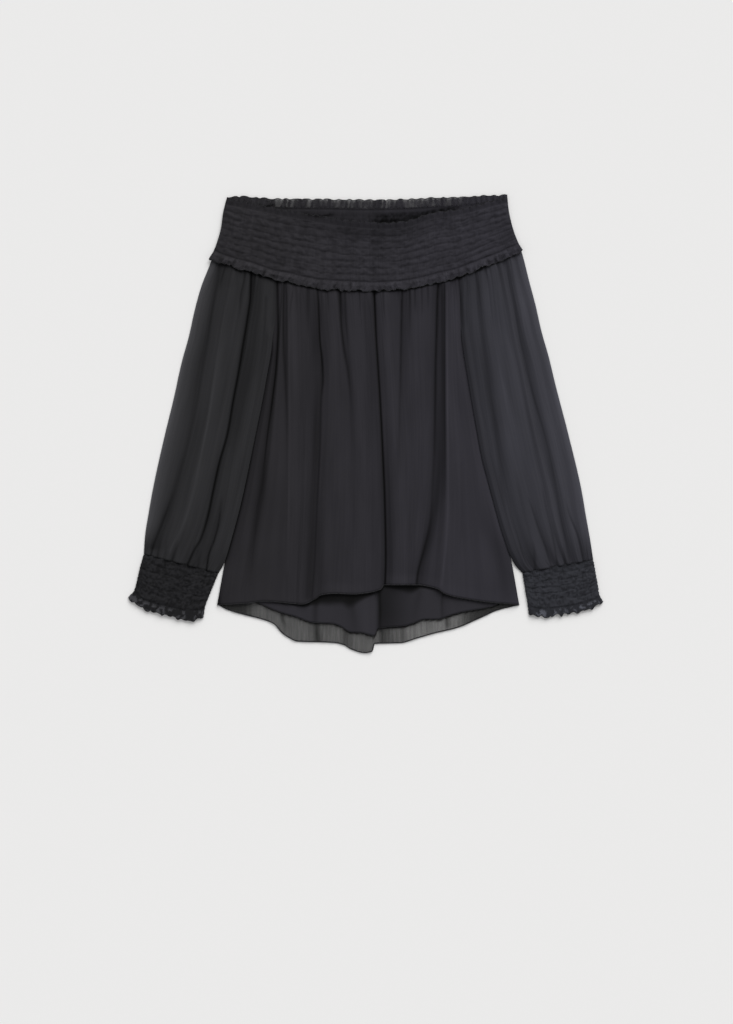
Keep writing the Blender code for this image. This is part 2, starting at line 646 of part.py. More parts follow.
def sleeve(name, folds, outer_edge, inner_edge, outward):
    """A full sleeve laid flat: a tube of cloth, open along the armhole, that rests on the body's side."""
    inner_track = track(inner_edge, "y", "x")
    outer_track = track(outer_edge, "y", "x")
    inner_top = inner_edge[0].y
    inner_end = inner_edge[-1].y
    outer_top = outer_edge[0].y
    outer_end = outer_edge[-1].y
    armhole_bend = (inner_top - ARMHOLE_BEND_Y) / (inner_top - inner_end)
    underarm = (inner_top - UNDERARM_Y) / (inner_top - inner_end)
    off_body = (inner_top - SLEEVE_OFF_BODY_Y) / (inner_top - inner_end)
    downs = [0.0, 0.035, armhole_bend, underarm, 0.32, 0.42, 0.52, 0.62, 0.72, 0.82, off_body, 0.965, 1.0]
    closed_from = downs.index(underarm)
    widths = [100 * (after - before) for before, after in zip(
        [0.0] + [fold.elbow for fold in folds], [fold.elbow for fold in folds] + [1.0])]
    top_places = fold_columns(widths, SLEEVE_STEP)[1:-1]
    under_steps = (SLEEVE_EDGE_ROLL, 4.5, 8.0, SLEEVE_REST)
    # Round the tube: top seam, top, outer fold, underside, lower seam
    ring = [("seam", 0.0), ("near", SLEEVE_EDGE_ROLL)] + [("top", place) for place in top_places]
    ring += [("far", SLEEVE_EDGE_ROLL), ("fold", 0.0), ("under_far", SLEEVE_EDGE_ROLL + CLOTH)]
    ring += [("under_mid", step / 10) for step in range(9, 1, -1)]
    ring += [("under", step) for step in reversed(under_steps)] + [("lower_seam", 0.0)]

    def row_ends(down):
        inner_y = mix(inner_top, inner_end, down)
        outer_y = mix(outer_top, outer_end, down)
        return (curve(inner_track, inner_y), inner_y), (curve(outer_track, outer_y), outer_y)

    def share_across(kind, value, width, down):
        if kind in ("seam", "lower_seam"):
            return 0.0
        if kind in ("near", "under"):
            return value / width
        if kind == "top":
            lines = [0.0] + [curve(list(zip(SLEEVE_FOLD_PLACES, fold[:5])), down) for fold in folds] + [1.0]
            return straight_between(value, lines)
        if kind in ("far", "under_far"):
            return 1 - value / width
        return value if kind == "under_mid" else 1.0

    def lift(from_body, down):
        """How far the underside rises onto the body's side."""
        if down < underarm - 0.001:
            return 0.0
        leaving = 1 - smooth((down - off_body) / (1 - off_body))
        resting = smooth((from_body - HEM_MARGIN) / (SLEEVE_REST - HEM_MARGIN))
        return SLEEVE_ON_BODY * leaving * (1 - resting)

    def rise_of(kind, value, down):
        if kind != "top":
            return 0.0
        rises = [0.0] + [curve(list(zip(SLEEVE_FOLD_PLACES, fold[5:])), down) for fold in folds] + [0.0]
        return between(value, rises) * mix(SLEEVE_GATHERED, 1.0, smooth(down / SLEEVE_GATHER_SHARE))

    def section(row, column):
        """The page position of a point on the ring, its distance from the body, and its fold's rise."""
        kind, value = ring[column]
        down = downs[row]
        (inner_x, inner_y), (outer_x, outer_y) = row_ends(down)
        width = math.hypot(outer_x - inner_x, outer_y - inner_y)
        share = share_across(kind, value, width, down)
        (top_inner_x, top_inner_y), (top_outer_x, top_outer_y) = row_ends(0.0)
        band_line = seam_y(mix(top_inner_x, top_outer_x, share))
        bow = (band_line - mix(top_inner_y, top_outer_y, share)) * (1 - down) ** 2
        x = mix(inner_x, outer_x, share)
        y = mix(inner_y, outer_y, share) + bow
        return x, y, share * width, rise_of(kind, value, down)

    def top_under(from_body, rise, down):
        """The lower face of the top layer."""
        level = CLOTH + PLEAT_ROOM + lift(from_body, down)
        if down < underarm - 0.001:
            level = mix(FRONT_LEVEL, level, smooth(from_body / UNDERARM_FADE))
        return level + rise

    def outer(row, column):
        kind = ring[column][0]
        down = downs[row]
        x, y, from_body, rise = section(row, column)
        closed = row >= closed_from
        if kind in ("seam", "lower_seam") and closed:
            return x, y, lift(0.0, down) + CLOTH + PLEAT_ROOM / 2
        if kind == "lower_seam" or kind.startswith("under"):
            return x, y, lift(from_body, down)
        if kind == "fold":
            return x, y, CLOTH + PLEAT_ROOM / 2
        if kind != "top":
            return x, y, top_under(from_body, rise, down) + CLOTH
        before = section(row, column - 1)
        after = section(row, column + 1)
        climb = top_under(after[2], after[3], down) - top_under(before[2], before[3], down)
        return x, y, top_under(from_body, rise, down) + steep(CLOTH, climb, abs(after[2] - before[2]))

    def inner(row, column):
        kind = ring[column][0]
        down = downs[row]
        x, y, from_body, rise = section(row, column)
        closed = row >= closed_from
        if kind in ("seam", "lower_seam") and closed:
            return x + outward * CLOTH, y, lift(0.0, down) + CLOTH + PLEAT_ROOM / 2
        if kind == "lower_seam" or kind.startswith("under"):
            return x, y, lift(from_body, down) + CLOTH
        if kind == "fold":
            return x - outward * CLOTH, y, CLOTH + PLEAT_ROOM / 2
        return x, y, top_under(from_body, rise, down)

    material = cloth("crinkle_chiffon_" + name, CHIFFON, 0.7)
    wall(name, len(downs) - 1, len(ring) - 1, outer, inner, material, closed_from, keep=1000)


def cuff(name, lines):
    """A shirred cuff laid flat: a tube with a raised top and a wavy free edge."""
    shirring = [CUFF_RUFFLE_SHARE * step / (2 * CUFF_ROWS) for step in range(2 * CUFF_ROWS + 1)]
    downs = shirring + [0.91, 1.0]
    last = len(shirring) - 1
    puffs = 2 * CUFF_PUFFS
    # Round the tube: left fold, top, right fold, underside
    ring = [("left_fold", 0.0)] + [("top", step / puffs) for step in range(puffs + 1)]
    ring += [("right_fold", 1.0), ("under", 0.97), ("under", 0.5), ("under", 0.03), ("left_fold", 0.0)]

    def page(row, column):
        kind, value = ring[column]
        down = downs[row]
        left_x, left_y, right_x, right_y, bow = (
            curve(track(lines, "down", part), down) for part in CuffLine._fields[1:]
        )
        width = math.hypot(right_x - left_x, right_y - left_y)
        inset = CUFF_EDGE_ROLL / width
        share = mix(inset, 1 - inset, value) if kind == "top" else value
        sway = RUFFLE_SWAY * wave(column) if kind == "top" and row == len(downs) - 1 else 0.0
        y = mix(left_y, right_y, share) - bow * (1 - abs(2 * share - 1) ** 4) + sway
        return mix(left_x, right_x, share), y

    def outer(row, column):
        kind, value = ring[column]
        x, y = page(row, column)
        if kind.endswith("fold"):
            return x, y, CUFF_CLOTH + CUFF_ROOM / 2
        if kind == "under":
            return x, y, FLOOR
        level = 2 * CUFF_CLOTH + CUFF_ROOM
        if row <= last:
            edge = 0.0 if column in (1, puffs + 1) else 1.0
            return x, y, level + puff(row, column, PUFF, PUFF_CHANGE) * edge
        share = (row - last) / (len(downs) - 1 - last)
        return x, y, level + CUFF_RUFFLE_WAVE * (1 + wave(column)) * share

    def inner(row, column):
        kind, value = ring[column]
        x, y = page(row, column)
        if kind == "left_fold":
            return x + CUFF_CLOTH, y, CUFF_CLOTH + CUFF_ROOM / 2
        if kind == "right_fold":
            return x - CUFF_CLOTH, y, CUFF_CLOTH + CUFF_ROOM / 2
        return x, y, CUFF_CLOTH if kind == "under" else CUFF_CLOTH + CUFF_ROOM

    material = cloth("shirred_chiffon_" + name, SHIRRED_CHIFFON, 0.75)
    wall(name, len(downs) - 1, len(ring) - 1, outer, inner, material, closed_from=0, keep=1000)


def centre_on_origin(solids):
    """Moves the solids so that their common box stands on the origin with its middle."""
    points = [vert.co for solid in solids for vert in solid.data.vertices]
    middle_x = (min(point.x for point in points) + max(point.x for point in points)) / 2
    middle_y = (min(point.y for point in points) + max(point.y for point in points)) / 2
    for solid in solids:
        solid.data.transform(Matrix.Translation((-middle_x, -middle_y, 0.0)))


def clear_scene():
    for item in list(bpy.data.objects):
        bpy.data.objects.remove(item, do_unlink=True)


def main():
    clear_scene()
    collection = bpy.data.collections.new(BLOUSE)
    bpy.context.scene.collection.children.link(collection)
    back_panel()
    back_lining()
    front_panel()
    band_back()
    band_front()
    sleeve("sleeve_left", LEFT_SLEEVE_FOLDS, LEFT_SLEEVE_OUTER, LEFT_SLEEVE_INNER, -1)
    sleeve("sleeve_right", RIGHT_SLEEVE_FOLDS, RIGHT_SLEEVE_OUTER, RIGHT_SLEEVE_INNER, 1)
    cuff("cuff_left", LEFT_CUFF)
    cuff("cuff_right", RIGHT_CUFF)
    centre_on_origin(collection.objects)


main()
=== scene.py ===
"""Looks of an off-the-shoulder blouse with long sleeves, laid flat and seen from straight above.

It is laid out as an add-on: one operator makes each piece of cloth, its sewing or the stage, from named
sizes. X runs across the blouse, Y runs from the hem towards the neck and Z is up from the floor. The
tables hold millimetres, and points become metres when they are placed.
"""

import math
from collections import namedtuple

import bmesh
import bpy
import numpy as np
from bpy.props import FloatProperty, FloatVectorProperty, PointerProperty
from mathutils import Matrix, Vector


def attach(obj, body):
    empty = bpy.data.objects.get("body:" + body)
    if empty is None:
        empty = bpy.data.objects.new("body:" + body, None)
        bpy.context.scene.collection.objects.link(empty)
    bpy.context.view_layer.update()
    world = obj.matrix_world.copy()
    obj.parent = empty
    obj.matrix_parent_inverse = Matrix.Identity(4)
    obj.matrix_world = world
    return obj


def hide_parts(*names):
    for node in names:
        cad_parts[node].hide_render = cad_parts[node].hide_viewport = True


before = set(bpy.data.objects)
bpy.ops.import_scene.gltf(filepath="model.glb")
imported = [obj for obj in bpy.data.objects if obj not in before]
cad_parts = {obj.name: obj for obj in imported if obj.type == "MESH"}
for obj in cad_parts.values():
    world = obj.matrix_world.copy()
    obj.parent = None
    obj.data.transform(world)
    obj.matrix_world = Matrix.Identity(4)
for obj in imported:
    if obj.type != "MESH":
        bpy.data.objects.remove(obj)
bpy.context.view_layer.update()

bl_info = {
    "name": "Off-the-shoulder blouse",
    "version": (1, 0, 0),
    "blender": (4, 5, 0),
    "location": "View3D > Sidebar > Blouse",
    "description": "Makes the cloth, sewing and stage of a shirred chiffon blouse laid flat",
    "category": "Object",
}

MM = 0.001
# The tables were measured from a line 0.2565 mm below the middle of the blouse's box
TABLE_MIDDLE_Y = 0.2565

# Levels of the solids' faces in mm above the floor, and how thick their cloth is
CLOTH = 1.2
PLEAT_ROOM = 0.3
LINING_TOP = 2.5
FRONT_LEVEL = 2.8
SIDE_SEAM_LEVEL = 1.5
BAND_TOP = 4.1
BAND_BACK_TOP = 1.5
RUFFLE_FOOT = 4.1
RUFFLE_FOOT_SLOPE = 0.45
RUFFLE_LIFT = 7.9
RUFFLE_TILT = 1.1
HEADING_LIFT = 5.0
SLEEVE_ON_BODY = 3.7
CUFF_MIDDLE = 1.75
CUFF_TOP = 3.5

# The body: widths over which its edges roll and fade, its gathers and its middle pleat, in mm
SIDE_ROLL = 10.0
SIDE_FADE = 8.0
SIDE_TUCK = 3.0
SIDE_TUCK_RUN = 6.0
SIDE_DROP = 0.8
SIDE_DROP_RUN = 4.0
HEM_LIFT_RUN = 16.0
FRONT_SWELL = 0.55
SWELL_FADE = 60.0
SMALL_GATHERS = 0.45
UNDERARM_Y = 118.0
UNDERARM_FADE = 25.0
HEM_MARGIN = 4.0
GATHER_FADE = 16.0
FRONT_GATHERED = 0.3
FRONT_GATHER_DEPTH = 32.0
PLEAT_X = 13.0
PLEAT_RUN = 25.0
PLEAT_RISE = 0.5
LINING_PLEAT_RISE = 0.9
LINING_TOP_XS = (-112.0, 120.0)
LINING_HEM_XS = (-194.0, 202.0)
LINING_TOP_GAP = 6.0
BACK_WIDTH = 420.0
LINING_WIDTH = 380.0
# A reach so long that gathers run the whole way down a piece
WHOLE_WAY = 900.0

# The band: shares of its depth at which its parts end, and sizes in mm
HEADING_SHARE = 0.09
SHIRRING_SHARE = 0.87
PANEL_SHARE = 0.892
BAND_BACK_SHARE = 0.887
BAND_ROWS = 8
BAND_ROW_HEIGHT = 9.5
BAND_WIDTH = 438.0
BAND_EDGE_ROUND = 8.0
BAND_EDGE_SHARE = 0.45
BACK_HEADING = 13.0
BACK_ROWS = 5
BACK_ROW_STEP = 4.75
NECK_OPEN_X = 3.0
NECK_OPEN_HALF = 150.0
NECK_OPEN_FADE = 30.0
BAND_GRID_ROWS = 86
BAND_ROW_PLACES = (0.0, 8 / 86, 72 / 86, 1.0)
BAND_ROW_SHARES = (0.0, HEADING_SHARE, SHIRRING_SHARE, 1.0)

# The sleeves and cuffs: sizes in mm, and shares of their length or of the way round them
SLEEVE_OFF_BODY_Y = -177.0
SLEEVE_REST = 12.0
SLEEVE_WIDTH = 120.0
SLEEVE_GATHERED = 0.45
SLEEVE_GATHER_SHARE = 0.08
SLEEVE_SLIT_MARGIN = 0.004
SLEEVE_SLIT_FADE = 0.07
SLEEVE_SMALL_GATHERS = 0.4
SLEEVE_SWELL = 0.6
SLEEVE_SWELL_FADE = 40.0
SLEEVE_FOLD_FADE = 9.0
SLEEVE_BODY_FADE = 6.0
SLEEVE_FOLD_ROUND = 3.2
SLEEVE_BODY_ROUND = 2.6
SLEEVE_SHEER_WIDTH = 13.0
SLEEVE_ROWS = 180
SLEEVE_TOP_SHARE = 0.76
CUFF_ROWS = 6
CUFF_ROW_HEIGHT = 9.4
CUFF_RUFFLE_SHARE = 0.82
CUFF_LENGTH = 69.0
CUFF_SIDE_LENGTH = 84.0
CUFF_WIDTH = 105.0
CUFF_OVERLAP = 2.2
CUFF_EDGE_ROUND = 3.0
CUFF_KNOB_HEIGHT = 0.4
CUFF_KNOB_REACH = 5.0
CUFF_SEAM_SHADOW_WIDTH = 2.4
# A puff's width and height on a cuff, as shares of those on the band
CUFF_PUFF_WIDTH = 0.68
CUFF_PUFF_HEIGHT = 1.2
CUFF_TOP_SHARE = 0.75

# Painted shade on the cloth, from 0 to 1: in the neck, between gathers and in gaps under edges
NECK_SHADE = 0.36
NECK_SHADE_X = 12.0
NECK_SHADE_REACH = 95.0
NECK_SHADE_SHARE = 0.13
NECK_INSIDE_SHADE = 0.72
GATHER_SHADE = 0.24
TUCK_SHADE = 0.45
SLEEVE_TUCK_SHADE = 0.4
GAP_SHADE = 0.9
# How much lighter the front's left half is just below the band
SEAM_LIGHT = 0.14
# Painted shadow of each sleeve on the front beside it. Below 0 the front is painted lighter there, because
# the photo shows no shadow on that side
SLEEVE_SHADE = {"left": 0.88, "right": -0.3}
SLEEVE_SHADE_FADE = 30.0
SLEEVE_LINE_WIDTHS = (1.7, 2.6)
SLEEVE_LINE_SHARES = (0.75, 1.0)
WIDE_SHADE_REACH = 11.0
WIDE_SHADE_SHARE = 0.22

HemLift = namedtuple("HemLift", "x lift")
HEM_LIFTS = [
    HemLift(-206, 0.2), HemLift(-120, 0.5), HemLift(-78, 0.8), HemLift(-60, 2.2), HemLift(-22, 2.0),
    HemLift(4, 0.8), HemLift(24, 0.8), HemLift(29, 3.0), HemLift(62, 3.0), HemLift(82, 1.4),
    HemLift(112, 1.0), HemLift(214, 0.2),
]

# Radii of the threads and rolled edges in mm, and how far each lies below the cloth's outer face
ELASTIC_RADIUS = 0.35
ELASTIC_SINK = 0.6
EDGE_RADIUS = 0.5
EDGE_SINK = 0.3
FRONT_HEM_RADIUS = 0.7
FRONT_HEM_SINK = 0.2
BACK_HEM_RADIUS = 0.8
BACK_HEM_SINK = 0.4

# Stage, in metres, and its light
FLOOR_SIZE = 40.0
WORLD_COLOUR = (1.0, 1.0, 1.0)
WORLD_STRENGTH = 0.5
SOFTBOX_STRENGTH = 2.5
SOFTBOX_ANGLE = 45.0
SOFTBOX_COLOUR = (1.0, 0.99, 0.98)
SOFTBOX_FROM = (0.3, 0.85, 0.72)
SENSOR_HEIGHT = 36.0
LENS = 100.0
VIEW_HEIGHT = 1.4336
VIEW_MIDDLE_X = 0.0011
VIEW_MIDDLE_Y = -0.1235

Point = namedtuple("Point", "x y")
BodySide = namedtuple("BodySide", "y left right")
BandSide = namedtuple("BandSide", "down left right")
SleeveEdge = namedtuple("SleeveEdge", "y x")
CuffLine = namedtuple("CuffLine", "down left_x left_y right_x right_y bow")
Fold = namedtuple("Fold", "x_band x_bust x_waist x_hem rise_band rise_bust rise_waist rise_hem")
Crease = namedtuple("Crease", "line left right soft points")
SleeveLight = namedtuple("SleeveLight", "reach light rim inner foot gathered")
SleeveFold = namedtuple(
    "SleeveFold",
    "band underarm elbow forearm cuff rise_band rise_underarm rise_elbow rise_forearm rise_cuff",
)


def even(line, *points):
    """A crease or ridge that fades alike on both sides."""
    return Crease(line, 0, 0, 0, points)


NECKLINE = [
    Point(-194, 314), Point(-145, 305), Point(-92, 295), Point(-61, 290), Point(-22, 284),
    Point(27, 281), Point(55, 283), Point(90, 294), Point(132, 300), Point(167, 309), Point(198, 316),
]
BACK_NECKLINE = [
    Point(-194, 317), Point(-177, 318), Point(-130, 315), Point(-50, 314), Point(-2, 313),
    Point(57, 314), Point(94, 316), Point(132, 317), Point(166, 319), Point(198, 320),
]
RUFFLE_EDGE = [
    Point(-219, 232), Point(-204, 225), Point(-187, 220), Point(-159, 212), Point(-134, 203),
    Point(-113, 199), Point(-92, 194), Point(-64, 189), Point(-22, 187), Point(13, 186),
    Point(48, 188), Point(76, 192), Point(104, 199), Point(132, 206), Point(160, 217),
    Point(188, 228), Point(219, 243),
]
BAND_SIDES = [
    BandSide(0.0, -194, 198), BandSide(0.25, -199.5, 200), BandSide(0.5, -202.5, 204),
    BandSide(0.75, -208.5, 210), BandSide(0.9, -213.5, 215), BandSide(1.0, -219, 219),
]
BODY_SIDES = [
    BodySide(216, -124, 132), BodySide(160, -124.5, 132.5), BodySide(118, -130, 134),
    BodySide(60, -142, 145.5), BodySide(-3, -154.8, 157.5), BodySide(-47, -163.8, 166),
    BodySide(-111, -178, 183), BodySide(-178, -194, 201), BodySide(-254, -208, 215),
]
FRONT_HEM = [
    Point(-206, -253), Point(-169, -251), Point(-141, -248), Point(-114, -250), Point(-89, -252),
    Point(-71, -245), Point(-62, -239), Point(-44, -237), Point(-17, -238), Point(3, -236),
    Point(21, -231), Point(26, -225), Point(71, -225), Point(86, -227), Point(101, -231),
    Point(110, -237), Point(126, -242), Point(143, -245), Point(170, -249), Point(214, -253),
]
BACK_HEM = [
    Point(-206, -253), Point(-192, -260), Point(-168, -267), Point(-148, -272), Point(-129, -279),
    Point(-116, -293), Point(-105, -300), Point(-95, -304), Point(-58, -305), Point(-42, -306),
    Point(-30, -309), Point(-20, -315), Point(-1, -320), Point(9, -318), Point(12, -307),
    Point(49, -306), Point(70, -300), Point(94, -293), Point(127, -285), Point(158, -272),
    Point(185, -260), Point(214, -253),
]
LINING_HEM = [
    Point(-194, -236), Point(-160, -246), Point(-116, -264), Point(-98, -269), Point(-71, -278),
    Point(-47, -279), Point(-34, -283), Point(-21, -291), Point(-5, -292), Point(13, -296),
    Point(17, -286), Point(56, -282), Point(68, -278), Point(83, -273), Point(101, -273),
    Point(116, -268), Point(135, -263), Point(177, -255), Point(202, -240),
]

# Painted shadow in the gaps between the two layers where the neck opens, drawn as creases whose points
# are y, x and depth
NECK_GAP_SHADOWS = [
    even(1.7, (306.5, -130, 0.7), (305, -136, 0.75), (303.5, -141, 0.5)),
    even(2.0, (292.5, -50, 0.75), (290, -62, 0.85), (291, -74, 0.7), (293.5, -84, 0.4)),
]

# The folds' places down the front, then one row for each crest or crease
FRONT_FOLD_PLACES = (185, 80, -60, -235)
FRONT_FOLDS = [
    Fold(-121.5, -132, -153, -187, 0.8, 1.5, 1.8, 1.2),
    Fold(-118.5, -127, -141, -172, 0.0, 0.0, 0.0, 0.8),
    Fold(-115.5, -122, -135, -165, 2.6, 3.0, 2.4, 1.2),
    Fold(-112.5, -113, -112, -118, 0.4, 0.3, 1.0, 1.0),
    Fold(-108.5, -107.5, -106, -108, 3.0, 3.4, 2.6, 1.6),
    Fold(-98, -95, -92, -98, 1.2, 1.4, 1.2, 1.2),
    Fold(-84, -80, -84, -92, 2.8, 2.4, 2.4, 2.2),
    Fold(-71, -65.5, -72, -81, 3.0, 3.6, 3.4, 2.6),
    Fold(-66, -60, -67, -75, 0.2, 0.0, 0.0, 0.3),
    Fold(-56, -48, -54, -62, 2.4, 2.4, 2.2, 2.2),
    Fold(-41, -33, -31, -37, 2.8, 2.6, 1.6, 1.6),
    Fold(-36.5, -27, -22, -26, 0.3, 0.5, 1.0, 1.2),
    Fold(-28, -18, -12, -14, 2.4, 2.4, 2.2, 2.0),
    Fold(-13, -4, 1, 1, 1.0, 1.2, 1.5, 1.6),
    Fold(6, 14, 20, 21, 3.6, 3.6, 3.6, 3.6),
    Fold(10.5, 18.5, 24.5, 26, 0.2, 0.1, 0.0, 0.0),
    Fold(26, 34, 42, 46, 2.6, 2.4, 2.4, 2.8),
    Fold(49, 50, 56, 56, 0.6, 0.9, 1.6, 2.0),
    Fold(66, 68, 71, 63, 2.6, 2.2, 2.2, 2.4),
    Fold(89, 89, 87, 68, 2.8, 3.2, 3.0, 2.6),
    Fold(97, 97.5, 96, 76, 0.1, 0.0, 0.0, 0.2),
    Fold(105, 105.5, 106, 92, 0.3, 0.3, 0.4, 0.8),
    Fold(110, 111, 113, 105, 3.3, 3.6, 3.6, 3.0),
    Fold(120, 124, 134, 140, 1.2, 1.2, 1.0, 1.0),
    Fold(127, 133, 152, 174, 2.0, 1.8, 1.6, 1.4),
]
FRONT_EDGE_RISE = 0.4

# The folds' places down a sleeve, as shares of its length, then one row for each crest or crease,
# whose first five values are shares of the sleeve's width from its body side
SLEEVE_FOLD_PLACES = (0.0, 0.25, 0.55, 0.85, 1.0)
LEFT_SLEEVE_FOLDS = [
    SleeveFold(0.06, 0.06, 0.06, 0.07, 0.08, 1.0, 2.0, 2.4, 2.2, 1.5),
    SleeveFold(0.17, 0.18, 0.18, 0.14, 0.14, 2.2, 2.6, 2.6, 2.4, 2.6),
    SleeveFold(0.25, 0.24, 0.24, 0.20, 0.22, 0.8, 1.6, 1.8, 0.5, 0.2),
    SleeveFold(0.30, 0.30, 0.30, 0.32, 0.38, 3.0, 3.6, 3.6, 3.6, 3.0),
    SleeveFold(0.34, 0.34, 0.34, 0.365, 0.45, 0.0, 0.0, 0.0, 0.0, 0.3),
    SleeveFold(0.41, 0.42, 0.42, 0.44, 0.52, 2.8, 2.6, 2.4, 2.6, 2.8),
    SleeveFold(0.48, 0.49, 0.48, 0.50, 0.60, 0.3, 1.6, 1.6, 1.6, 0.6),
    SleeveFold(0.62, 0.61, 0.56, 0.58, 0.68, 2.4, 3.6, 3.6, 3.6, 3.0),
    SleeveFold(0.70, 0.68, 0.63, 0.66, 0.76, 1.2, 1.2, 1.0, 0.8, 0.4),
    SleeveFold(0.80, 0.75, 0.70, 0.73, 0.83, 2.2, 2.6, 2.8, 2.6, 2.4),
    SleeveFold(0.87, 0.80, 0.75, 0.79, 0.90, 0.2, 0.2, 0.0, 0.0, 0.2),
    SleeveFold(0.93, 0.90, 0.88, 0.90, 0.95, 1.6, 2.0, 2.0, 1.8, 1.4),
]
RIGHT_SLEEVE_FOLDS = [
    SleeveFold(0.06, 0.06, 0.06, 0.06, 0.07, 1.0, 2.0, 2.2, 2.0, 1.5),
    SleeveFold(0.16, 0.17, 0.14, 0.11, 0.12, 2.4, 2.8, 2.6, 2.0, 2.4),
    SleeveFold(0.23, 0.24, 0.19, 0.15, 0.17, 0.7, 0.9, 1.0, 1.3, 0.4),
    SleeveFold(0.32, 0.33, 0.28, 0.26, 0.28, 2.6, 2.8, 2.4, 2.4, 2.8),
    SleeveFold(0.42, 0.42, 0.40, 0.40, 0.46, 0.8, 1.6, 1.6, 0.6, 0.2),
    SleeveFold(0.52, 0.52, 0.52, 0.50, 0.54, 2.6, 2.6, 2.6, 2.6, 2.8),
    SleeveFold(0.60, 0.60, 0.585, 0.57, 0.60, 1.5, 2.1, 2.1, 1.8, 0.8),
    SleeveFold(0.66, 0.665, 0.64, 0.635, 0.655, 3.2, 3.6, 3.6, 3.6, 2.8),
    SleeveFold(0.70, 0.705, 0.68, 0.675, 0.705, 0.0, 0.0, 0.0, 0.0, 0.2),
    SleeveFold(0.80, 0.80, 0.79, 0.78, 0.80, 2.4, 2.4, 2.4, 2.2, 2.4),
    SleeveFold(0.88, 0.88, 0.88, 0.84, 0.87, 0.6, 1.2, 1.2, 0.4, 0.2),
    SleeveFold(0.94, 0.94, 0.94, 0.92, 0.94, 1.6, 1.8, 1.8, 1.8, 1.4),
]
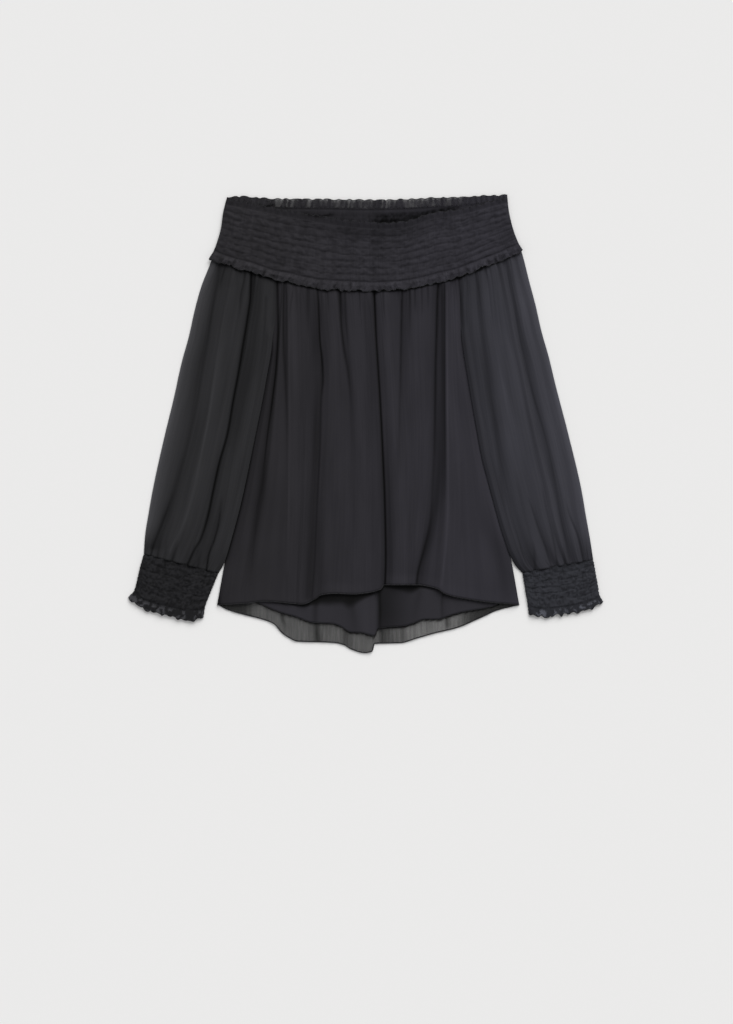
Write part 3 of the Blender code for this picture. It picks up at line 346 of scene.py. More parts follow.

# Creases drawn one by one, with the width of the sharp line, the reach of its soft part to the left and
# right, and the soft part's share. Each point is x, y and how much painted shade the crease gets there, or
# how much painted highlight a ridge gets where that is below 0. On the front and sleeves the same value
# also sinks the crease or lifts the ridge
FRONT_CREASES = [
    # The left armhole's seam, then the long fold below it
    Crease(1.5, 5, 3, 0.25, (
        (-123.5, 206, 0.85), (-122.5, 132, 0.9), (-125, 81, 1), (-130.5, 34, 0.95), (-138, -22, 0.85),
        (-144, -78, 0.6), (-151, -120, 0.35), (-156.5, -169, 0.2), (-162, -225, 0.05),
    )),
    even(1.7,
        (-114.5, 196, 0.55), (-115, 150, 0.6), (-114.5, 103, 0.55), (-113, 69, 0.4), (-111.5, 34, 0.25),
        (-110.5, 0, 0.1), (-110, -29, 0),
    ),
    even(1.9,
        (-106.5, 174, -0.1), (-108, 76, -0.18), (-107.5, -7, -0.3), (-108, -106, -0.28),
        (-110, -204, -0.12),
    ),
    even(6.5,
        (-142.5, -43, 0.1), (-145, -85, 0.4), (-152, -127, 0.42), (-158, -169, 0.3),
        (-163.5, -225, 0.05),
    ),
    even(2.6, (-81, 199, 0.5), (-81, 167, 0.35), (-80, 118, 0)),
    even(2, (-98.5, 196, 0.35), (-97.5, 174, 0.2), (-97.5, 146, 0)),
    Crease(1.5, 12.5, 1.5, 0.4, (
        (-67.5, 190, 0.5), (-66, 167, 0.85), (-64, 118, 1), (-61, 87, 0.95), (-60, 62, 0.75),
        (-62.5, 34, 0.55), (-64, -22, 0.5), (-68, -106, 0.42), (-71.5, -190, 0.38), (-75, -242, 0.45),
    )),
    even(5, (-68, 62, 0.1), (-70.5, -22, 0.32), (-74.5, -106, 0.3), (-78, -190, 0.3), (-81, -242, 0.25)),
    Crease(2.1, 0, 6, 0.25, (
        (-36.5, 193, 0.85), (-35, 146, 0.8), (-31.5, 111, 0.78), (-25.5, 73, 0.5), (-21, 34, 0.2),
        (-19, -1, 0),
    )),
    even(5, (-46.5, 181, -0.1), (-44.5, 111, -0.14), (-40, 34, -0.1), (-36, -36, 0)),
    even(9, (-65, -106, 0.06), (-65, -162, 0.2), (-63, -211, 0.27), (-61, -245, 0.27)),
    even(6, (-101, 196, -0.1), (-100, 100, -0.12), (-100, 0, -0.1), (-102, -100, -0.03)),
    even(7, (-8, 130, -0.04), (-9, 76, -0.12), (-8, 34, -0.12), (-6, -8, -0.08), (-4, -50, 0)),
    # The middle overlap
    Crease(1.6, 8, 1.6, 0.3, (
        (11.5, 196, 1), (14, 132, 1), (17, 83, 1), (20, 34, 1), (23.5, -36, 1), (26.5, -106, 1),
        (28, -190, 1), (26.5, -238, 1),
    )),
    even(4.5, (27, -22, 0), (32, -106, 0.3), (33.5, -190, 0.35), (31, -238, 0.35)),
    even(5.5, (28, 186, -0.14), (29.5, 100, -0.15), (34, 34, -0.1), (42.5, -78, -0.05), (45, -134, 0)),
    even(9, (76, 150, -0.05), (76, 60, -0.1), (76, -8, -0.1), (73, -70, -0.03)),
    Crease(1.8, 0, 7, 0.35, (
        (50.5, 189, 0.85), (49.5, 146, 0.72), (48.5, 90, 0.55), (46.5, -8, 0.26), (45, -78, 0),
    )),
    even(1.6, (-29.5, 188, 0.35), (-28, 146, 0.35), (-24, 104, 0)),
    even(1.3, (-101, 196, 0), (-102.5, 181, 0.3), (-105.5, 160, 0.25), (-107, 139, 0)),
    even(1.3, (-54, 188, 0.4), (-52.5, 167, 0.2), (-52, 153, 0)),
    even(1.2, (-9, 184, 0.45), (-8, 167, 0.25), (-7.5, 150, 0)),
    even(1.2, (24.5, 186, 0.4), (25.5, 167, 0.2), (26, 146, 0)),
    even(1.3, (61, 188, 0.45), (61.5, 160, 0.3), (62, 125, 0)),
    even(1.3, (78, 192, 0.4), (78.5, 174, 0.3), (79, 146, 0)),
    even(1.5, (69, 193, 0.55), (69, 174, 0.35), (69, 153, 0)),
    even(1.6, (86, 196, 0.45), (87, 176, 0.25), (87, 157, 0)),
    # The broad fold at the right
    Crease(2.2, 9, 0, 0.25, (
        (102, 199, 0.85), (100.5, 174, 0.85), (99.5, 132, 0.82), (98, 76, 0.78), (97.5, 34, 0.7),
        (96.5, -36, 0.55), (93, -106, 0.42), (91, -134, 0.5), (82, -176, 0.7), (73, -211, 0.8),
        (71, -232, 0.85),
    )),
    even(6.5,
        (105, 193, 0.32), (105, 34, 0.38), (104, -36, 0.44), (99, -106, 0.5), (91, -150, 0.5),
        (77, -211, 0.42), (76, -235, 0.3),
    ),
    even(1.2, (110, 193, 0.6), (110, 34, 0.5), (110.5, -36, 0.35), (109.5, -113, 0)),
    even(1.6,
        (113.5, 181, -0.3), (114, 34, -0.42), (115, -101, -0.4), (112.5, -162, -0.32),
        (106, -224, -0.25),
    ),
    Crease(1.3, 0, 3, 0.3, (
        (130, 202, 0.55), (132.5, 174, 0.65), (133.4, 144, 0.45), (134, 122, 0.2), (136, 104, 0),
    )),
    even(8, (121, 188, -0.1), (124, 118, -0.18), (128, 34, -0.14), (133, -50, -0.05)),
    even(12, (160, -92, 0.02), (171, -134, 0.16), (185, -176, 0.32), (193, -211, 0.28), (198, -245, 0.16)),
]
LEFT_SLEEVE_CREASES = [
    Crease(1.8, 6, 2, 0.3, ((-123.5, 206, 1), (-123, 150, 0.9), (-124.5, 128, 0.5), (-127, 110, 0))),
    Crease(3.2, 12, 13, 0.6, (
        (-204, 227, 0.85), (-207.5, 202, 0.7), (-212.5, 179, 0.55), (-218, 146, 0.5),
        (-224.5, 115, 0.45), (-235.5, 62, 0.38), (-239.5, 34, 0.36), (-249.5, -27, 0.36),
        (-260, -64, 0.4), (-271, -102, 0.5), (-285.5, -141, 0.7), (-297, -172, 0.7),
    )),
    Crease(1.8, 7, 7, 0.4, (
        (-193, 188, -0.15), (-197, 160, -0.2), (-208, 90, -0.25), (-218.5, 17, -0.38),
        (-228, -36, -0.4), (-239.5, -92, -0.4), (-249.5, -127, -0.35), (-260, -153, -0.3),
        (-274, -176, -0.25),
    )),
    # The long fold
    Crease(1.9, 3, 14, 0.35, (
        (-160, 221, 1), (-161, 181, 1), (-165.5, 147, 1), (-172, 108, 1), (-177.5, 74, 1),
        (-185, 34, 1), (-193, -13, 1), (-205.5, -57, 1), (-213, -92, 1), (-220, -127, 1),
        (-230, -160, 0.85), (-239, -175, 0.8), (-249.5, -197, 0.9),
    )),
    even(1.7, (-194.5, 225, 0.8), (-200, 207, 0.65), (-203, 193, 0.2)),
    even(1.7, (-167.5, 218, 0.55), (-170.5, 199, 0.5), (-174.5, 181, 0.45), (-176.5, 157, 0.1)),
    even(2, (-179, 221, 0.4), (-181, 188, 0)),
    even(1.7, (-151, 218, 0.75), (-156.5, 199, 0.4), (-158.5, 181, 0)),
    even(8,
        (-151, 195, 0.15), (-153.5, 132, 0.25), (-162, 76, 0.28), (-172, 34, 0.25), (-181.5, -22, 0.15),
        (-193, -78, 0),
    ),
    Crease(1.5, 5, 0, 0.3, (
        (-201.5, -106, 0.15), (-204.5, -134, 0.7), (-211.5, -162, 0.85), (-219.5, -185, 0.95),
        (-223, -209, 1),
    )),
    even(1.8, (-191.5, -36, -0.12), (-200, -78, -0.15), (-209, -120, -0.15), (-221, -162, -0.1)),
    even(1.5, (-271, -102, 0.2), (-285.5, -141, 0.6), (-297, -170, 0.6), (-299.5, -182, 0.5)),
    even(2.2, (-284, -153, 0), (-288, -169, 0.35), (-291, -185, 0.5)),
    even(2.2, (-260, -162, 0), (-265.5, -176, 0.35), (-271, -193, 0.5)),
    even(2, (-228, -174, 0), (-232, -185, 0.3), (-235, -202, 0.5)),
    even(2, (-139.5, 174, 0.25), (-142.5, 118, 0.2), (-151, 62, 0)),
]
RIGHT_SLEEVE_CREASES = [
    Crease(1.4, 2, 3, 0.3, (
        (130, 201, 0.5), (132.5, 174, 0.6), (133.4, 144, 0.35), (134, 122, 0.1), (136, 104, 0),
    )),
    even(2, (138, 196, -0.12), (137.5, 174, -0.15), (137.5, 150, -0.1), (138.5, 128, 0)),
    Crease(3.2, 4, 9, 0.45, (
        (154, 216, 0.34), (156, 195, 0.34), (157.5, 174, 0.29), (161.5, 132, 0.24), (167, 83, 0.2),
        (172, 41, 0.17), (178.5, 6, 0.15), (184, -29, 0.14), (188, -64, 0.12), (191, -99, 0.07),
        (196.5, -141, 0),
    )),
    even(7,
        (159, 125, 0.04), (166, 90, 0.14), (172, 48, 0.2), (181, -1, 0.22), (188, -43, 0.2),
        (193, -85, 0.14), (197, -127, 0),
    ),
    even(9, (181, 132, -0.03), (191, 69, -0.08), (199, 34, -0.09), (210.5, -22, -0.06), (221.5, -78, 0)),
    Crease(1.7, 6, 5, 0.35, (
        (198, 228, 0.3), (202, 209, 0.29), (207.5, 174, 0.27), (213.5, 132, 0.27), (223, 83, 0.34),
        (232, 48, 0.38), (240, 20, 0.4), (248, -8, 0.4), (256.5, -43, 0.36), (263.5, -78, 0.34),
        (268.5, -106, 0.3), (273.5, -134, 0.3), (280.5, -169, 0.3), (286, -197, 0.34),
    )),
    even(6, (220, 174, -0.08), (231.5, 111, -0.09), (248, 41, -0.11), (262, -15, -0.09), (275, -78, -0.04)),
    even(1.5, (279, -106, 0.08), (286, -130, 0.38), (296, -155, 0.5), (305, -193, 0.55)),
    even(1.5,
        (224.5, -95, 0.08), (233, -120, 0.34), (242, -148, 0.34), (251.5, -174, 0.38),
        (259.5, -199, 0.38),
    ),
    even(1.6, (245.5, -85, 0), (251, -113, 0.19), (261, -155, 0.27), (268, -197, 0.38)),
    even(5, (212, -64, 0), (217.5, -106, 0.15), (227, -148, 0.15), (234, -190, 0.19)),
    even(1.6, (186.5, 76, -0.04), (195, 41, -0.15), (199, 17, -0.04)),
    even(1.8, (167, 221, 0.34), (169, 202, 0.15), (170, 185, 0)),
    even(1.8, (184, 227, 0.3), (186.5, 209, 0.15), (188, 195, 0)),
    even(1.8, (210.5, 234, 0.27), (214.5, 209, 0.11), (217.5, 188, 0)),
    even(2, (140.5, 206, 0.3), (142.5, 188, 0.15), (143, 167, 0)),
    even(2, (234, -162, 0), (235.5, -183, 0.3), (237, -204, 0.42)),
    even(2, (275, -169, 0), (277.5, -185, 0.27), (279, -199, 0.38)),
    even(2, (314, -169, 0), (317, -181, 0.27), (317.5, -193, 0.38)),
]
LINING_CREASES = [
    Crease(2, 4, 36, 0.72, ((18.5, -227, 0.95), (20, -260, 1), (19.5, -286, 0.85), (17, -316, 0.6))),
    Crease(2, 0, 8, 0.3, ((109.5, -230, 0.7), (106, -253, 0.4), (107, -280, 0.3))),
    even(4, (-68, -232, 0.5), (-70.5, -263, 0.4), (-71, -288, 0.35)),
    Crease(4, 18, 6, 0.55, ((-22, -232, 0.6), (-18, -263, 0.3), (-12, -302, 0.1))),
    even(7, (-1, -246, -0.1), (0.5, -274, -0.15), (2, -309, -0.15)),
    even(5, (76, -232, 0.25), (70.5, -260, 0.15), (67.5, -288, 0)),
]
BACK_CREASES = [
    Crease(4.4, 0, 8, 0.4, ((-72.5, -263, 0.6), (-70, -288, 0.6), (-68, -309, 0.55))),
    Crease(3.6, 0, 26, 0.55, ((21, -288, 0.6), (22, -309, 0.5), (23, -323, 0.4))),
    even(3.2, (113, -263, 0.5), (114.5, -281, 0.4)),
    even(3.4, (-118.5, -251, 0.5), (-116, -272, 0.4), (-111.5, -286, 0.15)),
    even(5, (-29, -274, 0.3), (-27, -309, 0.25)),
    even(4.5, (54, -272, 0.2), (53.5, -302, 0.2)),
]

# Each sleeve's painted highlight along its folded edge, as its reach in mm, strength and thin rim, then how
# much darker the sleeve is painted beside the body and the cuff, and how gathered it is at the cuff
LEFT_SLEEVE_LIGHT = SleeveLight(17.0, 0.85, 1.5, 0.0, 0.0, 1.3)
RIGHT_SLEEVE_LIGHT = SleeveLight(34.0, 0.22, 0.6, 0.27, 0.18, 0.3)

LEFT_SLEEVE_OUTER = [
    SleeveEdge(240, -213), SleeveEdge(227, -216.5), SleeveEdge(192, -230), SleeveEdge(160, -239),
    SleeveEdge(120, -248), SleeveEdge(88, -257), SleeveEdge(34, -269), SleeveEdge(-15, -281),
    SleeveEdge(-87, -297), SleeveEdge(-123, -303.5), SleeveEdge(-159, -309), SleeveEdge(-182, -310.5),
]
LEFT_SLEEVE_INNER = [
    SleeveEdge(211, -124.3), SleeveEdge(160, -124.8), SleeveEdge(118, -130.3), SleeveEdge(101, -132),
    SleeveEdge(70, -137.5), SleeveEdge(34, -144), SleeveEdge(-15, -154), SleeveEdge(-64, -164),
    SleeveEdge(-110, -174), SleeveEdge(-146, -183.3), SleeveEdge(-175, -191.5),
    SleeveEdge(-185, -194.5), SleeveEdge(-197, -199), SleeveEdge(-209, -206),
]
RIGHT_SLEEVE_OUTER = [
    SleeveEdge(249, 214.5), SleeveEdge(240, 218), SleeveEdge(198, 229), SleeveEdge(164, 238),
    SleeveEdge(129, 246), SleeveEdge(94, 256), SleeveEdge(53, 266), SleeveEdge(-12, 283),
    SleeveEdge(-92, 302), SleeveEdge(-127, 308), SleeveEdge(-161, 314), SleeveEdge(-190, 318.5),
]
RIGHT_SLEEVE_INNER = [
    SleeveEdge(216, 131.8), SleeveEdge(160, 132.6), SleeveEdge(122, 133.8), SleeveEdge(101, 136.6),
    SleeveEdge(80, 139.9), SleeveEdge(60, 143.3), SleeveEdge(29, 148.4), SleeveEdge(-3, 154),
    SleeveEdge(-47, 162), SleeveEdge(-81, 171), SleeveEdge(-111, 179), SleeveEdge(-144, 188),
    SleeveEdge(-165, 195), SleeveEdge(-178, 199.5), SleeveEdge(-188, 204), SleeveEdge(-199, 210),
    SleeveEdge(-208.5, 219),
]
LEFT_CUFF = [
    CuffLine(0.0, -310.8, -182.4, -206.2, -209.4, 0.0), CuffLine(0.33, -316.5, -203, -213.5, -227, 5.0),
    CuffLine(0.66, -321, -223, -220.5, -244, 9.0), CuffLine(0.82, -324, -233, -224.5, -255, 11.0),
    CuffLine(1.0, -332, -242, -227, -270, 12.0),
]
RIGHT_CUFF = [
    CuffLine(0.0, 219.1, -208.9, 318.6, -190.4, 0.0), CuffLine(0.33, 222, -225, 322, -209, 4.0),
    CuffLine(0.66, 224.5, -241, 325.5, -229, 7.0), CuffLine(0.82, 226.5, -252, 327, -239, 9.0),
    CuffLine(1.0, 228, -264, 332, -248, 10.0),
]

# Each sleeve's side, folds, edges, creases, light and seed
SLEEVES = (
    ("left", LEFT_SLEEVE_FOLDS, LEFT_SLEEVE_OUTER, LEFT_SLEEVE_INNER, LEFT_SLEEVE_CREASES,
     LEFT_SLEEVE_LIGHT, 61),
    ("right", RIGHT_SLEEVE_FOLDS, RIGHT_SLEEVE_OUTER, RIGHT_SLEEVE_INNER, RIGHT_SLEEVE_CREASES,
     RIGHT_SLEEVE_LIGHT, 71),
)
# Each cuff's side, lines, contrast of its painted crumple shade and light specks, the part of its top seam
# that gets a painted shadow, and seed
CUFFS = (("left", LEFT_CUFF, 1.1, (0.4, 0.84), 81), ("right", RIGHT_CUFF, 0.9, (0.1, 0.95), 91))

# Depths of the painted shadow under the ruffle and under the front's hem, as x and mm
RUFFLE_SHADOW_DEPTHS = [
    (-219, 1.5), (-200, 4.0), (-188, 2.5), (-178, 5.0), (-168, 2.5), (-150, 4.5), (-140, 3.0), (-127, 4.8),
    (-118, 3.0), (-104, 4.0), (-92, 2.6), (-80, 3.6), (-66, 3.0), (-56, 4.5), (-45, 3.0), (-30, 3.6),
    (-15, 2.4), (0, 3.2), (8, 5.0), (20, 2.6), (40, 3.0), (52, 5.0), (62, 3.6), (80, 3.0), (92, 3.6),
    (105, 2.0), (120, 3.6), (135, 4.6), (148, 2.6), (160, 4.5), (172, 2.6), (186, 2.0), (219, 1.0),
]
HEM_SHADOW_DEPTHS = [
    (-206, 0.0), (-132, 0.0), (-128, 1.4), (-100, 3.0), (-78, 6.0), (-66, 12.0), (-50, 16.0), (-34, 15.0),
    (-24, 19.0), (-8, 11.0), (4, 6.5), (14, 4.0), (22, 4.0), (27, 5.0), (36, 5.5), (50, 8.5), (62, 11.5),
    (72, 8.0), (78, 4.0), (100, 2.8), (112, 2.4), (124, 1.8), (150, 1.4), (172, 1.0), (190, 0.0), (214, 0.0),
]

# Colours of the cloth and the stage, as sRGB hex values
CHIFFON_HEX = "#272629"
CHIFFON_FAR_HEX = "#2e2d33"
SLEEVE_HEX = "#2a2a2c"
SLEEVE_FAR_HEX = "#35353b"
SHIRRED_HEX = "#29282b"
SHIRRED_FAR_HEX = "#2e2d33"
CUFF_HEX = "#1f1f21"
CUFF_FAR_HEX = "#2d2e33"
SHEER_HEX = "#2c2c2c"
LINING_HEX = "#2a292e"
THREAD_HEX = "#29292b"
FLOOR_HEX = "#ebebeb"


def mix(start, end, share):
    """The value at a share of the way from start to end."""
    return start + (end - start) * share


def smooth(share):
    """A share from 0 to 1 that eases in and out."""
    share = np.clip(share, 0.0, 1.0)
    return share * share * (3 - 2 * share)


def bell(off, width):
    """1 where nothing is off, and close to 0 from twice the width."""
    return np.exp(-(off / width) ** 2)


def quarter_round(share):
    """The rise of a quarter circle from 0 to 1."""
    return np.sqrt(1 - (1 - np.clip(share, 0, 1)) ** 2)


def darker(dark, *shades):
    """How dark a place is once each shade has taken its share of the light that was left."""
    light = 1 - dark
    for shade in shades:
        light = light * (1 - shade)
    return 1 - light


def track(rows, place, value):
    """Two columns of a table, as (place, value) pairs."""
    return [(getattr(row, place), getattr(row, value)) for row in rows]


def curve(points, places):
    """Values at the places on a smooth curve through (place, value) pairs, which never overshoots them."""
    xs, ys = np.array(sorted(points), float).T
    places = np.clip(places, xs[0], xs[-1])
    steps = np.diff(ys) / np.diff(xs)
    slopes = np.concatenate([steps[:1], np.zeros(len(xs) - 2), steps[-1:]])
    for index in range(1, len(xs) - 1):
        before, after = steps[index - 1], steps[index]
        slopes[index] = 2 * before * after / (before + after) if before * after > 0 else 0.0
    index = np.clip(np.searchsorted(xs, places, side="right") - 1, 0, len(xs) - 2)
    span = xs[index + 1] - xs[index]
    share = (places - xs[index]) / span
    bend_in = slopes[index] * span * share * (1 - share) ** 2
    bend_out = slopes[index + 1] * span * share ** 2 * (share - 1)
    return mix(ys[index], ys[index + 1], smooth(share)) + bend_in + bend_out


def outline_y(outline, x):
    """The height on the page of an outline at x."""
    return curve(outline, x)


def side_x(side, y):
    """The body's left or right side at a height on the page."""
    return curve(track(BODY_SIDES, "y", side), y)


def band_x(across, down):
    """The x of a point of the band, from its shares across and down."""
    left = curve(track(BAND_SIDES, "down", "left"), down)
    right = curve(track(BAND_SIDES, "down", "right"), down)
    return mix(left, right, across)


def band_y(across, down):
    """The height on the page of a point of the band, from its shares across and down."""
    neck = outline_y(NECKLINE, band_x(across, 0.0))
    ruffle = outline_y(RUFFLE_EDGE, band_x(across, 1.0))
    return mix(neck, ruffle, down)


def seam_y(x):
    """Where the panels and sleeves meet the band."""
    left = band_x(0.0, PANEL_SHARE)
    right = band_x(1.0, PANEL_SHARE)
    return band_y((x - left) / (right - left), PANEL_SHARE)


def cell_edges(length, spacing, unevenness, draw):
    """Edges of uneven cells side by side along a length."""
    count = max(2, round(length / spacing))
    edges = np.arange(count + 1) + unevenness * draw.uniform(-0.5, 0.5, count + 1)
    edges[0], edges[-1] = 0, count
    return edges * length / count


def in_cells(places, edges):
    """The number of the cell that each place lies in, and how far through the cell it is."""
    number = np.clip(np.searchsorted(edges, places, side="right") - 1, 0, len(edges) - 2)
    return number, (places - edges[number]) / (edges[number + 1] - edges[number])


def arch(share, roundness=0.6):
    """A round arch from 0 up to 1 and back, with sharp feet."""
    return np.clip(4 * share * (1 - share), 0.0, 1.0) ** roundness


def gathers(across, from_seam, length, spacing, reach, seed):
    """Gathers that leave a seam side by side, each dying out at its own distance: 0 to 1 high."""
    draw = np.random.default_rng(seed)
    edges = cell_edges(length, spacing, 0.75, draw)
    sway = 2.5 * np.sin(from_seam / 23 + across / 17)
    number, share = in_cells(np.clip(across + sway * smooth(from_seam / 30), 0, length), edges)
    heights = draw.uniform(0.35, 1.0, len(edges))
    reaches = reach * draw.uniform(0.3, 1.7, len(edges)) ** 1.4
    return heights[number] * arch(share) * np.exp(-(from_seam / reaches[number]) ** 1.5)


def tucks(across, from_seam, length, spacing, reach, seed):
    """Thin lines of painted shade in the tucks at a gathered seam, each of its own depth and length: 0 to 1.
    """
    draw = np.random.default_rng(seed)
    edges = cell_edges(length, spacing, 0.9, draw)
    place = np.clip(across + 1.2 * np.sin(from_seam / 19 + across / 13), 0, length)
    number, share = in_cells(place, edges)
    nearest = np.where(share < 0.5, number, number + 1)
    depths = draw.uniform(-0.3, 1.0, len(edges)).clip(0.0, 1.0)
    reaches = reach * draw.uniform(0.25, 1.6, len(edges)) ** 1.5
    line = bell(place - edges[nearest], 0.9)
    return depths[nearest] * line * bell(from_seam, reaches[nearest])


def crinkle(across, down, seed, lengths=(4.3, 5.7, 7.9, 12.1)):
    """The fine lengthways crinkle of the chiffon, from -1 to 1. Places are in mm."""
    draw = np.random.default_rng(seed)
    total = np.zeros_like(across)
    for length in lengths:
        phase = draw.uniform(0, 2 * math.pi, 4)
        wander = 1.3 * np.sin(down / draw.uniform(30, 55) + phase[0] + across / 19)
        wander += 0.8 * np.sin(down / draw.uniform(12, 20) + phase[1])
        strength = 0.55 + 0.45 * np.sin(down / draw.uniform(25, 60) + across / 14 + phase[2])
        total += strength * np.sin(2 * math.pi * across / length + phase[3] + wander)
    return total / len(lengths)


def crease_depth(x, y, creases):
    """How deep each point lies in the creases: up to 1 in a dark one, and below 0 on a ridge. The value sinks
    the front's and sleeves' cloth, and sets painted shade on each piece that uses it, or painted highlight
    below 0.
    """
    open_share = np.ones_like(x)
    ridges = np.zeros_like(x)
    for crease in creases:
        points = [(point[1], point[0]) for point in crease.points]
        depths = [(point[1], point[2]) for point in crease.points]
        off = x - curve(points, y)
        low, high = crease.points[-1][1], crease.points[0][1]
        depth = curve(depths, y) * smooth((y - low + 8) / 8) * smooth((high - y + 8) / 8)
        reach = np.where(off < 0, max(crease.left, 0.01), max(crease.right, 0.01))
        shape = (1 - crease.soft) * bell(off, crease.line) + crease.soft * bell(off, reach)
        share = depth * shape
        open_share *= 1 - np.clip(share, 0, 1)
        ridges += np.clip(share, None, 0)
    return 1 - open_share + ridges


def lattice(across, down, seed):
    """Smooth uneven values from -1 to 1, drawn anew at each whole step across and down."""
    drawn = np.random.default_rng(seed).uniform(-1, 1, (97, 397))
    column, row = np.floor(across).astype(int), np.floor(down).astype(int)
    beside, under = smooth(across - column), smooth(down - row)
    corners = [[drawn[(row + r) % 97, (column + c) % 397] for c in (0, 1)] for r in (0, 1)]
    return mix(mix(*corners[0], beside), mix(*corners[1], beside), under)


def crumple(across, down, spacing, seed):
    """Uneven crumpling of gathered cloth, from -1 to 1. Places and spacing are in mm."""
    slanted = across + 2.2 * lattice(across / 23, down / 9, seed)
    wide = lattice(slanted / spacing, down / (1.1 * spacing), seed + 1)
    fine = lattice(slanted / (0.52 * spacing), down / (0.7 * spacing), seed + 2)
    return np.clip((wide + 0.8 * fine) * 0.85, -1, 1)


def swell(across, down, seed, length=46.0):
    """Low wide unevenness of cloth that was smoothed down by hand, from -1 to 1."""
    draw = np.random.default_rng(seed)
    phase = draw.uniform(0, 2 * math.pi, 3)
    wide = np.sin(across / length * 2.1 + 0.9 * np.sin(down / 90 + phase[0]) + phase[1])
    return 0.6 * wide + 0.4 * np.sin(across / length * 4.3 + down / 70 + phase[2])


def linear(hex_colour):
    """An sRGB hex value as a linear colour."""
    channels = [int(hex_colour[start:start + 2], 16) / 255 for start in (1, 3, 5)]
    return [c / 12.92 if c <= 0.04045 else ((c + 0.055) / 1.055) ** 2.4 for c in channels]


def sew_piece(name, place, size, material, rows, columns, tube_from=None):
    """A piece of cloth from a grid whose points place() lays out, in mm.

    place takes how far across and down the grid each point lies, and gives x, y, z, how sheer it is and
    how much painted shade it gets, which is painted highlight below 0. With tube_from the first and last
    columns are sewn together from that row down.
    size is the cut's width and length in mm, which the cloth's own map measures.
    """
    look = bpy.context.scene.blouse_look
    bm = bmesh.new()
    cut = bm.loops.layers.uv.new("cut")
    sheer = bm.verts.layers.float.new("sheer")
    crease = bm.verts.layers.float.new("crease")
    bmesh.ops.create_grid(bm, x_segments=columns, y_segments=rows, size=0.5, calc_uvs=True)
    flat = np.array([vert.co[:2] for vert in bm.verts])
    across, down = flat[:, 0] + 0.5, 0.5 - flat[:, 1]
    x, y, z, see_through, painted_shade = place(across, down)
    lines = {}
    points = zip(x, y - TABLE_MIDDLE_Y, z)
    for vert, row, column, point, thin, shade_amount in zip(
        bm.verts, np.rint(down * rows), np.rint(across * columns), points, see_through, painted_shade
    ):
        vert.co = Vector(point) * MM
        vert[sheer] = thin
        # The crease layer holds each point's painted shade, and painted highlight below 0
        vert[crease] = shade_amount
        if column in (0, columns):
            lines[row, column] = vert
    for face in bm.faces:
        face.smooth = True
        for loop in face.loops:
            loop[cut].uv = (loop[cut].uv.x * size[0] * MM, loop[cut].uv.y * size[1] * MM)
    if tube_from is not None:
        sewn = {lines[row, columns]: lines[row, 0] for row in range(tube_from, rows + 1)}
        bmesh.ops.weld_verts(bm, targetmap=sewn)
    bm.normal_update()
    if sum(face.normal.z for face in bm.faces[:columns // 2]) < 0:
        bmesh.ops.reverse_faces(bm, faces=bm.faces[:])
    piece = finished(name, bm, material)
    thickness = piece.modifiers.new("thickness", "SOLIDIFY")
    thickness.thickness = look.cloth_thickness
    thickness.offset = -1.0
    return piece


def finished(name, bm, material):
    """A finished mesh as a piece that rides with the blouse."""
    mesh = bpy.data.meshes.new(name)
    bm.to_mesh(mesh)
    bm.free()
    mesh.materials.append(material)
    piece = bpy.data.objects.new(name, mesh)
    bpy.context.scene.collection.objects.link(piece)
    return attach(piece, "root") or piece


def sew_threads(name, paths, radius, material, sides=6):
    """Threads or rolled edges along paths of points, each a closed tube. The points and radius are in mm."""
    bm = bmesh.new()
    for path in paths:
        points = np.array(path, float)
        steps = len(points) - 1
        grid = bmesh.ops.create_grid(bm, x_segments=sides, y_segments=steps, size=0.5)
        forward = np.gradient(points, axis=0)
        forward /= np.linalg.norm(forward, axis=1)[:, None]
        side = np.cross(forward, (0.0, 0.0, 1.0))
        side /= np.linalg.norm(side, axis=1)[:, None]
        up = np.cross(side, forward)
        ring = {}
        for vert in grid["verts"]:
            row = round((0.5 - vert.co.y) * steps)
            turn = round((vert.co.x + 0.5) * sides)
            angle = 2 * math.pi * turn / sides
            point = points[row] + radius * (math.cos(angle) * side[row] + math.sin(angle) * up[row])
            vert.co = Vector((point[0], point[1] - TABLE_MIDDLE_Y, point[2])) * MM
            ring[row, turn] = vert
        sewn = {ring[row, sides]: ring[row, 0] for row in range(steps + 1)}
        bmesh.ops.weld_verts(bm, targetmap=sewn)
        for row in (0, steps):
            bmesh.ops.contextual_create(bm, geom=[ring[row, turn] for turn in range(sides)])
    bmesh.ops.recalc_face_normals(bm, faces=bm.faces[:])
    for face in bm.faces:
        face.smooth = True
    return finished(name, bm, material)


def add_node(tree, kind, settings=None, **links):
    """Adds a node with its settings, and sets or links its inputs by name."""
    node = tree.nodes.new(kind)
    for setting, value in (settings or {}).items():
        setattr(node, setting, value)
    for socket, value in links.items():
        number = socket[1:]
        target = node.inputs[int(number) if number.isdigit() else socket.replace("_", " ")]
        if isinstance(value, bpy.types.NodeSocket):
            tree.links.new(value, target)
        else:
            target.default_value = value
    return node


def base_material(name, colour, roughness):
    """A plain material with its node tree and shader, to build on."""
    material = bpy.data.materials.new(name)
    material.use_nodes = True
    tree = material.node_tree
    shader = tree.nodes["Principled BSDF"]
    shader.inputs["Base Color"].default_value = (*colour, 1.0)
    shader.inputs["Roughness"].default_value = roughness
    shader.inputs["Metallic"].default_value = 0.0
    material.diffuse_color = (*colour, 1.0)
    return material, tree, shader


def mapped(tree, across, along):
    """The cut's own map, counted in steps of so many mm across and along the cloth."""
    place = add_node(tree, "ShaderNodeUVMap", {"uv_map": "cut"}).outputs["UV"]
    scale = (1000 / across, 1000 / along, 1.0)
    return add_node(tree, "ShaderNodeMapping", Vector=place, Scale=scale).outputs["Vector"]


